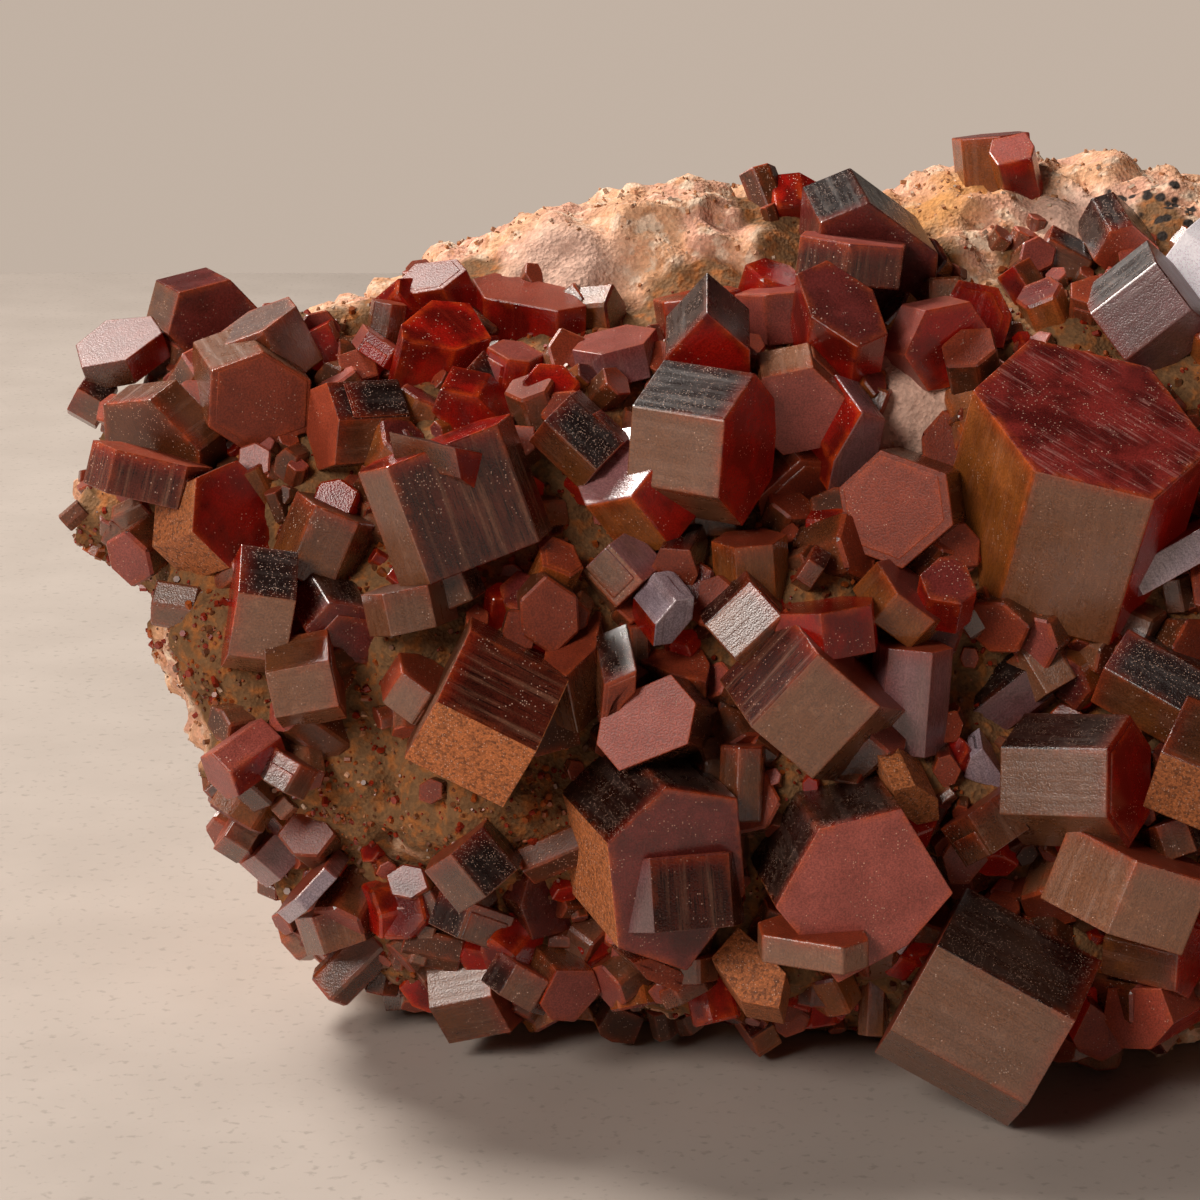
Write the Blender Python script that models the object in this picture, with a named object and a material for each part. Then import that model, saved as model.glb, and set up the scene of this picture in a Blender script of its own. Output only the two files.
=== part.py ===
"""Vanadinite on matrix: a rough stone grown over with short six-sided prisms.

The specimen is laid out on the grid of its front view, seen from a little above. Each crystal is
drawn there by corners of one of its end faces and by the far end of the long edge that starts at
the second corner. The mineral is hexagonal, so those few points give the rest of the crystal:
how its end face leans, how wide it is and how long. The stone is a heap of rounded lobes placed
on the same grid, remeshed into one rough body, with a flat base and a socket for each crystal.
"""

import math
import random

import bmesh
import bpy
from mathutils import Matrix, Vector, noise

MM = 0.001

# Driving dimensions
GRID_STEP = 0.07 * MM  # one step of the front view's grid, at the middle of the specimen
GRID_MIDDLE = 600  # the grid column and row at the middle of the view
MIDDLE_HEIGHT = 39.6 * MM  # height of the grid's middle above the surface it rests on
VIEW_TILT = math.radians(14.0)  # the front view looks down by this much
VIEW_DISTANCE = 233.0 * MM  # distance from the eye to the middle of the specimen
SEAM = 0.3 * MM  # gap between neighbouring solids
STONE_CELL = 2.7 * MM  # coarseness of the stone's facets before they are thinned out
STONE_KEEP = 0.17  # share of the stone's facets kept
STONE_ROUGHNESS = 0.9 * MM
BROAD_WAVES = (90, 1.4)  # waves per metre of the stone's swells, and their share of the roughness
FINE_WAVES = (260, 0.7)  # the same for its small bumps
STONE_SEED = 7
STONE_SMOOTHINGS = 2
LOBE_DETAIL = 3  # how often a lobe's facets are divided
FLAT_FROM_AXIS = 0.8  # distance from a crystal's axis to its sides, as a share of its radius
MERGED = 0.004 * MM  # points nearer to each other than this are one
FLAT_WITHIN = math.radians(0.2)  # faces this near to one plane are one
STAND_OUT = 0.3  # how far a crystal's axis stands out of the stone, as a share of its radius
ROOT_DEPTH = 1.6 * MM  # how deep a crystal that points outwards is rooted in the stone
LONGEST_ROOT = 8.0 * MM
LONGEST_SHARE = 2.3  # a crystal seen end on is at most this long, by its radius
LOWEST_CORNER = 0.3 * MM  # height of the lowest crystal corner above the surface it rests on
ROOT_STEP = 0.4 * MM  # steps in which crystals are made longer or shorter
SHORTEST_LIFTED = 0.55  # a crystal shortened to stay above that is still this long, by its radius
JOINED_SHARE = 0.05  # two crystals that share more than this of the smaller one are one solid
MOST_JOINED = 9  # crystals in one solid
SAMPLES = 260  # points that measure how much two crystals share
SAMPLE_SEED = 5
FACE_ON = 0.5  # end faces seen more squarely than this keep their own drawn outline
LEAST_DRAWN_LEAN = 0.2  # the same where all six corners are drawn
MOST_NODES = 60

# Finishes, as linear red, green and blue
CRYSTAL_SHADES = ((0.17, 0.03, 0.018), (0.13, 0.045, 0.03), (0.2, 0.04, 0.03), (0.1, 0.03, 0.02))
CRYSTAL_ROUGHNESS = 0.35
STONE_SHADE = (0.42, 0.22, 0.12)
STONE_GLOSS = 0.9

VIEW_RIGHT = Vector((1.0, 0.0, 0.0))
VIEW_UP = Vector((0.0, math.sin(VIEW_TILT), math.cos(VIEW_TILT)))
VIEW_AWAY = Vector((0.0, math.cos(VIEW_TILT), -math.sin(VIEW_TILT)))
VIEW_MIDDLE = Vector((0.0, 0.0, MIDDLE_HEIGHT))
EYE = VIEW_MIDDLE - VIEW_AWAY * VIEW_DISTANCE

# Lobes of the stone: grid column, grid row, depth of the front and of the back behind the middle
# of the specimen in millimetres, and radius across the view in millimetres.
RIDGE_LOBES = (
    (480, 330, 30, 56, 7.0),
    (570, 312, 30, 58, 8.4),
    (680, 290, 30, 60, 9.4),
    (780, 300, 31, 60, 9.0),
    (860, 300, 33, 60, 8.0),
    (940, 270, 33, 60, 8.5),
    (1040, 262, 34, 60, 8.5),
    (1130, 265, 32, 60, 8.5),
    (1220, 275, 30, 58, 9.0),
    (1300, 330, 27, 56, 10.0),
    (1370, 420, 24, 54, 11.0),
)
LEFT_LOBES = (
    (390, 380, 26, 50, 7.0),
    (300, 400, 25, 46, 7.0),
    (215, 415, 27, 44, 6.0),
    (150, 450, 26, 42, 4.5),
    (110, 520, 24, 38, 3.6),
    (220, 520, 20, 44, 7.5),
    (230, 640, 15, 42, 6.6),
    (290, 745, 13, 42, 6.2),
    (330, 870, 22, 44, 5.0),
    (420, 905, 19, 50, 6.5),
)
MIDDLE_LOBES = (
    (330, 520, 18, 50, 9.0),
    (450, 480, 15, 54, 10.0),
    (580, 460, 15, 56, 11.0),
    (700, 440, 17, 58, 11.0),
    (820, 430, 17, 58, 11.0),
    (910, 420, 16, 58, 10.0),
    (1040, 420, 17, 58, 11.0),
    (1170, 420, 18, 58, 11.0),
    (1290, 470, 18, 56, 11.0),
    (1400, 530, 20, 52, 10.0),
    (330, 640, 14, 48, 8.5),
    (440, 640, 11, 54, 10.0),
    (560, 630, 11, 56, 11.0),
    (680, 620, 12, 58, 11.0),
    (800, 610, 11, 58, 11.0),
    (920, 600, 13, 58, 11.0),
    (1050, 600, 13, 58, 11.0),
    (1180, 620, 13, 58, 11.0),
    (1300, 640, 13, 56, 11.0),
    (1400, 670, 17, 50, 10.0),
)
LOWER_LOBES = (
    (380, 770, 13, 48, 8.0),
    (500, 780, 9, 54, 9.5),
    (620, 780, 11, 56, 11.0),
    (740, 780, 10, 58, 11.0),
    (860, 780, 9, 58, 11.0),
    (980, 790, 12, 58, 11.0),
    (1100, 790, 11, 58, 11.0),
    (1220, 790, 12, 56, 11.0),
    (1330, 790, 14, 54, 9.5),
    (540, 925, 15, 54, 7.0),
    (660, 925, 13, 56, 7.0),
    (780, 925, 12, 56, 7.5),
    (900, 935, 13, 56, 8.0),
    (1020, 945, 12, 56, 8.5),
    (1140, 945, 12, 56, 8.0),
    (1250, 930, 13, 54, 8.0),
    (1340, 905, 16, 50, 7.0),
)
BASE_LOBES = (
    (480, 935, 26, 52, 8.0),
    (620, 960, 28, 56, 9.0),
    (780, 965, 28, 58, 9.0),
    (940, 965, 28, 58, 9.0),
    (1100, 960, 28, 56, 9.0),
    (1240, 940, 26, 52, 8.0),
)

ALL_LOBES = RIDGE_LOBES + LEFT_LOBES + MIDDLE_LOBES + LOWER_LOBES + BASE_LOBES


class Drawing:
    """One crystal as drawn on the front view's grid."""

    def __init__(self, name, corners, tail, lean=None, length=None, near=0.0):
        """corners: two to six corners of an end face, in order round it. tail: far end of the
        edge that starts at the second corner. lean: how squarely the end face is seen, from
        1 (squarely) through 0 (edge on) to negative (turned away), where the corners alone would
        not tell. length in millimetres where the tail is hidden. near: millimetres that the
        crystal stands nearer the viewer than its size would put it."""
        self.name = name
        self.corners = [grid_vector(corner) for corner in corners]
        self.tail = grid_vector(tail)
        self.lean = lean
        self.length = length
        self.near = near * MM


class Prism:
    """A crystal in space: the ring of its six free corners, its axis into the stone, its length."""

    def __init__(self, name, ring, outward, length):
        self.name = name
        self.ring = ring
        self.outward = outward
        self.length = length
        self.centre = sum(ring, Vector()) / len(ring)
        self.radius = max((corner - self.centre).length for corner in ring)

    def middle(self):
        return self.centre - self.outward * self.length / 2

    def reach(self):
        return math.hypot(self.radius, self.length / 2)

    def lowest(self):
        """Height of the lowest corner."""
        return min(min(corner.z, (corner - self.outward * self.length).z) for corner in self.ring)

    def shrink_towards(self, point, scale):
        """Scales the crystal about a point."""
        self.ring = [point + (corner - point) * scale for corner in self.ring]
        self.centre = point + (self.centre - point) * scale
        self.radius *= scale
        self.length *= scale

    def point_inside(self, dice):
        """A random point inside the crystal."""
        index = dice.randrange(6)
        first = self.ring[index] - self.centre
        second = self.ring[(index + 1) % 6] - self.centre
        share, other = sorted((dice.random(), dice.random()))
        flat = first * share + second * (other - share)
        return self.centre + flat - self.outward * (self.length * dice.random())

    def size(self):
        return self.radius * self.radius * self.length

    def grown(self, gap):
        """The same prism with every face moved outwards by the gap."""
        scale = 1 + gap / (self.radius * FLAT_FROM_AXIS)
        ring = [self.centre + (corner - self.centre) * scale + self.outward * gap for corner in self.ring]
        return Prism(self.name, ring, self.outward, self.length + 2 * gap)

    def planes(self):
        """(point, outward normal) of each of the eight faces."""
        faces = [(self.centre, self.outward), (self.centre - self.outward * self.length, -self.outward)]
        for corner, following in zip(self.ring, self.ring[1:] + self.ring[:1]):
            side = (following - corner).cross(self.outward).normalized()
            if side.dot(corner - self.centre) < 0:
                side = -side
            faces.append((corner, side))
        return faces


def grid_vector(point):
    """A grid point in metres right of and above the view's middle."""
    return Vector((point[0] - GRID_MIDDLE, GRID_MIDDLE - point[1])) * GRID_STEP


def sight(flat):
    """Unit direction from the eye through a point of the view."""
    return (VIEW_AWAY * VIEW_DISTANCE + VIEW_RIGHT * flat.x + VIEW_UP * flat.y).normalized()


def in_space(flat, depth):
    """The point seen at a place of the view, at a depth behind the specimen's middle."""
    spread = (VIEW_DISTANCE + depth) / VIEW_DISTANCE
    return VIEW_MIDDLE + (VIEW_RIGHT * flat.x + VIEW_UP * flat.y) * spread + VIEW_AWAY * depth


def on_plane(flat, point, normal):
    """Where the line of sight through a place of the view meets a plane."""
    direction = sight(flat)
    return EYE + direction * ((point - EYE).dot(normal) / direction.dot(normal))


def full_outline(corners, along, lean):
    """Centre and six corners of the end face as drawn, the missing ones from its symmetry."""
    if len(corners) == 2:
        first, second = corners
        width = (second - first).length
        third = second + (second - first) / 2 + along * (lean * width * math.sqrt(3) / 2)
        corners = [first, second, third]
    pairs = [(corners[index], corners[index + 3]) for index in range(len(corners) - 3)]
    if pairs:
        centre = sum((one + other for one, other in pairs), Vector((0, 0))) / (2 * len(pairs))
    else:
        centre = corners[0] + corners[2] - corners[1]
    missing = [2 * centre - corners[index - 3] for index in range(len(corners), 6)]
    return centre, corners + missing


def rows_of(outline, direction):
    """The two numbers that a regular hexagon's corners give along one direction of the view."""
    spokes = [(outline[index] - outline[index + 3]) / 2 for index in range(3)]
    error = (spokes[0] - spokes[1] + spokes[2]) / 3
    first = (spokes[0] - error).dot(direction)
    second = (spokes[1] + error).dot(direction)
    return Vector((first, (2 * second - first) / math.sqrt(3)))


def solve(drawing, heap):
    """The prism that a drawing shows."""
    along = (drawing.corners[1] - drawing.tail).normalized()
    across = Vector((along.y, -along.x))
    drawn_lean = 0.1 if drawing.lean is None else drawing.lean
    centre, outline = full_outline(drawing.corners, along, drawn_lean)
    wide = rows_of(outline, across)
    deep = rows_of(outline, along)
    radius = wide.length
    lean = drawing.lean
    if lean is None:
        lean = 0.1 if len(drawing.corners) == 2 else min(deep.length / radius, 0.97)
    slant = math.sqrt(1 - lean * lean)
    length = (drawing.corners[1] - drawing.tail).length / slant
    if drawing.length:
        length = drawing.length * MM
    elif lean >= FACE_ON:
        length = min(length, LONGEST_SHARE * radius)
    body = centre - along * (length * slant / 2)
    depth = heap.depth(body) - STAND_OUT * radius * slant - drawing.near
    spread = (VIEW_DISTANCE + depth) / VIEW_DISTANCE
    if not drawing.length:
        length *= spread
    radius *= spread
    line = sight(centre)
    tilt_right = VIEW_RIGHT - line * VIEW_RIGHT.dot(line)
    tilt_up = VIEW_UP - line * VIEW_UP.dot(line)
    along_space = (tilt_right * along.x + tilt_up * along.y).normalized()
    outward = along_space * slant - line * lean
    face = in_space(centre, depth - lean * length / 2)
    seen_whole = len(drawing.corners) == 6 and lean >= LEAST_DRAWN_LEAN
    if lean >= FACE_ON or seen_whole:
        ring = [on_plane(corner, face, outward) for corner in outline]
        return Prism(drawing.name, ring, outward, length)
    if len(drawing.corners) == 4:
        widths = [(end - start).dot(across) for start, end in zip(drawing.corners, drawing.corners[1:])]
        offsets = tabular_offsets(widths, radius / spread)
    else:
        offsets = regular_offsets(lean, wide, deep)
    fitted = offsets[: max(len(drawing.corners), 3)]
    shift = Vector((0, 0))
    for corner, (side, depth_share) in zip(outline, fitted):
        shift += corner - centre - (across * side + along * (lean * depth_share)) * wide.length
    shift /= len(fitted)
    face = in_space(centre + shift, depth - lean * length / 2)
    across_space = (tilt_right * across.x + tilt_up * across.y).normalized()
    inward = along_space * lean + line * slant
    ring = [face + (across_space * side + inward * share) * radius for side, share in offsets]
    return Prism(drawing.name, ring, outward, length)


def tabular_offsets(widths, radius):
    """The same for a crystal stretched sideways, from the drawn widths of its three near sides."""
    hand = math.copysign(1, widths[1])
    first, middle, last = [abs(width) / radius for width in widths]
    turn = math.atan((first - last) / (math.sqrt(3) * (first + last)))
    short = first / math.cos(math.pi / 3 - turn)
    steps = (
        Vector((math.cos(math.pi / 3 - turn), -math.sin(math.pi / 3 - turn))) * short,
        Vector((math.cos(turn), math.sin(turn))) * (middle / math.cos(turn)),
        Vector((math.cos(math.pi / 3 + turn), math.sin(math.pi / 3 + turn))) * short,
    )
    corners = [Vector((0, 0))]
    for step in steps + tuple(-step for step in steps[:2]):
        corners.append(corners[-1] + step)
    middle_point = (corners[0] + corners[3]) / 2
    return [(hand * (corner - middle_point).x, (corner - middle_point).y) for corner in corners]


def regular_offsets(lean, wide, deep):
    """The corners of a regular end face of radius one, across the axis and along the sight."""
    choices = []
    for hand in (1, -1):
        from_width = Vector((wide[0], -hand * wide[1]))
        from_depth = Vector((hand * deep[1], deep[0])) * math.copysign(1, lean)
        turn = (from_width + from_depth).normalized()
        start = math.atan2(turn.y, turn.x)
        choices.append((math.sin(start + hand * math.pi / 3), start, hand))
    start, hand = min(choices)[1:]
    angles = [start + hand * math.pi / 3 * index for index in range(6)]
    return [(math.cos(angle), math.sin(angle)) for angle in angles]


# Stone


def lobe_mesh(lobes):
    """All lobes as separate overlapping ellipsoids in one mesh."""
    heap = bmesh.new()
    for column, row, front, back, radius in lobes:
        centre = in_space(grid_vector((column, row)), (front + back) / 2 * MM)
        half = (back - front) / 2 * MM
        size = Matrix.Diagonal((radius * MM, radius * MM, half, 1))
        turn = Matrix((VIEW_RIGHT, VIEW_UP, VIEW_AWAY)).transposed().to_4x4()
        place = Matrix.Translation(centre) @ turn @ size
        bmesh.ops.create_icosphere(heap, subdivisions=LOBE_DETAIL, radius=1, matrix=place)
    mesh = bpy.data.meshes.new("lobes")
    heap.to_mesh(mesh)
    heap.free()
    return mesh


def evaluated_copy(source, name):
    """A new object holding the mesh that the source's modifiers give."""
    graph = bpy.context.evaluated_depsgraph_get()
    mesh = bpy.data.meshes.new_from_object(source.evaluated_get(graph), depsgraph=graph)
    copy = bpy.data.objects.new(name, mesh)
    bpy.context.scene.collection.objects.link(copy)
    bpy.data.objects.remove(source)
    return copy


def rough_stone():
    """The stone before its sockets: remeshed lobes, roughened, thinned out and cut flat below."""
    lobes = bpy.data.objects.new("lobes", lobe_mesh(ALL_LOBES))
    bpy.context.scene.collection.objects.link(lobes)
    remesh = lobes.modifiers.new("remesh", "REMESH")
    remesh.mode = "VOXEL"
    remesh.voxel_size = STONE_CELL
    stone = evaluated_copy(lobes, "remeshed")
    put_in_order(stone.data)
    smooth = stone.modifiers.new("smooth", "SMOOTH")
    smooth.iterations = STONE_SMOOTHINGS
    stone = evaluated_copy(stone, "smoothed")
    noise.seed_set(STONE_SEED)
    for vertex in stone.data.vertices:
        broad = noise.noise_vector(vertex.co * BROAD_WAVES[0]) * BROAD_WAVES[1]
        fine = noise.noise_vector(vertex.co * FINE_WAVES[0]) * FINE_WAVES[1]
        vertex.co += (broad + fine) * STONE_ROUGHNESS
    thin = stone.modifiers.new("thin", "DECIMATE")
    thin.ratio = STONE_KEEP
    stone = evaluated_copy(stone, "matrix")
    shape = bmesh.new()
    shape.from_mesh(stone.data)
    everything = shape.verts[:] + shape.edges[:] + shape.faces[:]
    cut = bmesh.ops.bisect_plane(
        shape, geom=everything, plane_co=(0, 0, 0), plane_no=(0, 0, 1), clear_inner=True
    )
    rim = [item for item in cut["geom_cut"] if isinstance(item, bmesh.types.BMEdge)]
    bmesh.ops.triangle_fill(shape, edges=rim, use_beauty=True, normal=(0, 0, -1))
    tidy(shape)
    shape.to_mesh(stone.data)
    shape.free()
    return stone


def put_in_order(mesh):
    """Sorts the points and faces by place, so that the same stone comes out every time."""
    places = [tuple(vertex.co) for vertex in mesh.vertices]
    order = sorted(range(len(places)), key=places.__getitem__)
    rank = {old: new for new, old in enumerate(order)}
    faces = []
    for polygon in mesh.polygons:
        corners = [rank[index] for index in polygon.vertices]
        start = corners.index(min(corners))
        faces.append(corners[start:] + corners[:start])
    mesh.clear_geometry()
    mesh.from_pydata([places[index] for index in order], [], sorted(faces))
    mesh.update()


def tidy(shape):
    """Merges stray points, flattens what is flat and keeps only the largest piece."""
    bmesh.ops.remove_doubles(shape, verts=shape.verts, dist=MERGED)
    bmesh.ops.dissolve_limit(shape, angle_limit=FLAT_WITHIN, verts=shape.verts, edges=shape.edges)
    bmesh.ops.dissolve_degenerate(shape, edges=shape.edges, dist=MERGED)
    pieces = islands(shape)
    for piece in pieces[:-1]:
        bmesh.ops.delete(shape, geom=piece, context="VERTS")
    bmesh.ops.triangulate(shape, faces=shape.faces)
    bmesh.ops.recalc_face_normals(shape, faces=shape.faces)


def islands(shape):
    """The separate pieces of a mesh as lists of vertices, smallest first."""
    left = set(shape.verts)
    pieces = []
    while left:
        piece = []
        front = [left.pop()]
        while front:
            vertex = front.pop()
            piece.append(vertex)
            for edge in vertex.link_edges:
                other = edge.other_vert(vertex)
                if other in left:
                    left.discard(other)
                    front.append(other)
        pieces.append(piece)
    return sorted(pieces, key=spread_of)


def spread_of(vertices):
    """Length of a piece's box diagonal."""
    lows = [min(vertex.co[axis] for vertex in vertices) for axis in range(3)]
    highs = [max(vertex.co[axis] for vertex in vertices) for axis in range(3)]
    return (Vector(highs) - Vector(lows)).length


class Heap:
    """The heap of lobes: how deep it lies behind the view, and whether a point is inside it."""

    def __init__(self, lobes):
        self.lobes = []
        for column, row, front, back, radius in lobes:
            centre = in_space(grid_vector((column, row)), (front + back) / 2 * MM)
            self.lobes.append((centre, Vector((radius, radius, (back - front) / 2)) * MM))

    @staticmethod
    def by_size(vector, halves):
        """A vector along the lobe's own axes, measured by its half sizes."""
        parts = (vector.dot(VIEW_RIGHT), vector.dot(VIEW_UP), vector.dot(VIEW_AWAY))
        return Vector([part / half for part, half in zip(parts, halves)])

    def hit(self, flat):
        """Where one line of sight meets the heap first, and the surface normal there."""
        direction = sight(flat)
        first = None
        for centre, halves in self.lobes:
            start = self.by_size(EYE - centre, halves)
            step = self.by_size(direction, halves)
            middle = -start.dot(step) / step.dot(step)
            inside = middle * middle - (start.dot(start) - 1) / step.dot(step)
            if inside < 0:
                continue
            distance = middle - math.sqrt(inside)
            if first is None or distance < first[0]:
                first = (distance, centre, halves)
        if first is None:
            return None, None
        distance, centre, halves = first
        place = EYE + direction * distance
        right, up, away = [part / half for part, half in zip(self.by_size(place - centre, halves), halves)]
        return place, (VIEW_RIGHT * right + VIEW_UP * up + VIEW_AWAY * away).normalized()

    def nearest(self, flat):
        """The point of one line of sight that passes nearest to a lobe."""
        direction = sight(flat)
        nearest = None
        for centre, halves in self.lobes:
            start = self.by_size(EYE - centre, halves)
            step = self.by_size(direction, halves)
            place = EYE - direction * (start.dot(step) / step.dot(step))
            if nearest is None or self.holds(place) > self.holds(nearest):
                nearest = place
        return nearest

    def depth(self, flat):
        """Depth behind the specimen's middle at which one line of sight meets the heap or passes it."""
        place = self.hit(flat)[0]
        if place is None:
            place = self.nearest(flat)
        return (place - VIEW_MIDDLE).dot(VIEW_AWAY)

    def holds(self, point):
        """Depth of a point inside the heap, negative outside."""
        return max((1 - self.by_size(point - centre, halves).length) * halves.x for centre, halves in self.lobes)


# Crystals, region by region of the front view

UPPER_LEFT = (
    Drawing("mauve_shoulder", [(169, 335), (180, 293), (231, 280), (261, 311)], (171, 288), lean=0.93, length=6),
    Drawing("pink_end", [(82, 368), (127, 360), (163, 333), (152, 316), (107, 320), (76, 345)], (136, 384)),
    Drawing("dark_edge", [(86, 371), (78, 386), (72, 412)], (106, 402), lean=-0.1),
    Drawing("glitter_red", [(103, 405), (150, 400), (200, 452)], (177, 379), near=1),
    Drawing("bar_over_glitter", [(95, 437), (118, 448), (187, 468), (213, 471)], (108, 491), lean=0.1, near=3.5),
    Drawing(
        "orange_red",
        [(209, 428), (212, 371), (264, 352), (312, 381), (310, 432), (250, 454)],
        (192, 341),
        near=2,
    ),
    Drawing("grey_behind_orange", [(224, 348), (261, 328), (297, 307)], (289, 381), lean=0.25),
    Drawing("small_red_square", [(292, 334), (311, 331), (330, 328)], (328, 367), lean=0.1),
    Drawing("dark_red_end", [(197, 478), (193, 532), (230, 568)], (152, 547)),
    Drawing("olive_block", [(117, 502), (112, 520), (104, 543)], (155, 543), lean=-0.1),
    Drawing("box_upper_left", [(328, 384), (340, 420), (332, 465)], (411, 416), lean=0.35, near=2),
    Drawing("pink_pair", [(358, 325), (372, 329), (398, 350)], (360, 348), lean=0.1),
)
UPPER_MIDDLE = (
    Drawing(
        "pink_top",
        [(413, 294), (443, 289), (467, 270), (457, 259), (415, 264), (396, 284)],
        (460, 325),
    ),
    Drawing(
        "deep_red",
        [(403, 341), (456, 351), (492, 338), (470, 303), (432, 300), (401, 325)],
        (452, 367),
        length=7,
    ),
    Drawing(
        "tall_back_prism",
        [(484, 298), (558, 311), (587, 306), (565, 287), (497, 272), (472, 279)],
        (557, 388),
        lean=0.3,
        near=1,
    ),
    Drawing("small_round", [(493, 355), (515, 364), (537, 359), (525, 345)], (507, 412), lean=0.3),
    Drawing("small_box_middle", [(490, 355), (461, 367), (450, 388)], (487, 388), lean=-0.1),
    Drawing("small_red_end", [(431, 412), (440, 390), (478, 398)], (446, 378), lean=0.85, length=4),
    Drawing("brown_prism", [(383, 318), (405, 303)], (398, 345)),
    Drawing("streaked_upper", [(357, 470), (382, 450), (497, 425), (518, 432)], (425, 567), lean=0.12, near=3),
    Drawing("dark_beside_streaked", [(508, 458), (567, 499), (573, 530)], (490, 480), lean=0.55, length=6, near=1),
    Drawing("grey_lilac", [(497, 418), (512, 411), (522, 418)], (510, 457), lean=0.1),
    Drawing("dark_slant", [(530, 443), (544, 420), (569, 394)], (596, 469), lean=-0.1, near=1),
    Drawing("white_pink_end", [(585, 506), (631, 497), (664, 455)], (672, 549), near=3),
    Drawing("black_topped_box", [(762, 376), (720, 420), (718, 497)], (628, 405), lean=0.38, near=3),
    Drawing("tan_topped", [(762, 378), (813, 368), (849, 402)], (808, 342), near=1),
    Drawing("lilac_square", [(600, 362), (641, 343), (660, 322)], (648, 377), lean=0.3),
    Drawing("red_behind", [(663, 303), (707, 299), (740, 286)], (714, 345), lean=0.1),
    Drawing("red_roof", [(665, 358), (707, 313), (750, 350)], (707, 290), lean=0.85, length=6),
    Drawing("mauve_small", [(762, 303), (808, 290)], (812, 340)),
)
UPPER_RIGHT = (
    Drawing("blurred_red", [(770, 225), (775, 207), (805, 204), (825, 215)], (772, 190), lean=0.85, length=5),
    Drawing(
        "maroon_crown",
        [(820, 223), (869, 203), (938, 254), (934, 300)],
        (862, 190),
        lean=0.93,
        length=9,
        near=6,
    ),
    Drawing("bar_over_crown", [(800, 231), (851, 245), (902, 251)], (846, 287), lean=0.08, near=11),
    Drawing("dark_under_crown", [(811, 318), (857, 348), (888, 334)], (852, 380), near=6),
    Drawing("mauve_and_red", [(925, 311), (904, 356), (928, 392)], (880, 349)),
    Drawing(
        "dark_sparkle",
        [(945, 303), (967, 349), (1003, 348), (1012, 316), (998, 288), (958, 280)],
        (963, 380),
    ),
    Drawing("slanted_box", [(990, 287), (1002, 279), (1014, 258)], (1040, 338), lean=-0.1),
    Drawing("brown_soft", [(1035, 262), (1048, 238)], (1092, 262)),
    Drawing("pink_small", [(1070, 283), (1095, 275), (1120, 282)], (1092, 300), lean=0.6, length=4),
    Drawing(
        "grey_top_right",
        [(1093, 262), (1110, 232), (1132, 225), (1159, 249), (1150, 275), (1118, 282)],
        (1100, 215),
        lean=0.85,
        length=6,
    ),
    Drawing("dark_striped", [(1078, 322), (1125, 353), (1160, 385)], (1190, 303), lean=-0.15, near=1),
    Drawing("white_mirror", [(1148, 271), (1183, 234)], (1240, 275), lean=-0.1, near=3),
    Drawing("largest", [(972, 390), (1034, 471), (1154, 500)], (991, 619), near=4),
    Drawing("ridge_prism", [(961, 143), (998, 134), (1030, 132)], (1004, 200), lean=0.05),
    Drawing(
        "ridge_box",
        [(997, 166), (1031, 158), (1034, 146), (1025, 132), (991, 140), (988, 153)],
        (1037, 185),
        near=7,
    ),
)
MIDDLE_LEFT = (
    Drawing("box_left", [(246, 549), (242, 590), (220, 652)], (299, 598), lean=0.08, near=2),
    Drawing("box_lower_left", [(322, 632), (331, 659), (344, 704)], (268, 671), lean=0.12, near=2),
    Drawing("brown_pair", [(318, 503), (360, 521), (380, 529)], (331, 591), lean=0.15),
    Drawing("olive_square", [(383, 593), (428, 585)], (437, 627)),
    Drawing("tan_square", [(430, 573), (458, 563)], (474, 600), near=1),
    Drawing("purple_end", [(305, 630), (330, 603), (372, 610), (392, 638)], (322, 590), lean=0.85, length=5),
    Drawing("red_topped_cube", [(400, 653), (402, 672), (432, 692)], (382, 703), lean=0.45, near=1),
    Drawing("streaked_middle", [(470, 631), (437, 702), (404, 757)], (535, 751), lean=0.06, near=4),
    Drawing(
        "granular_end",
        [(497, 668), (526, 649), (574, 681), (581, 745), (537, 757), (492, 728)],
        (500, 640),
        lean=0.85,
        length=6,
        near=3,
    ),
)
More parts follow.
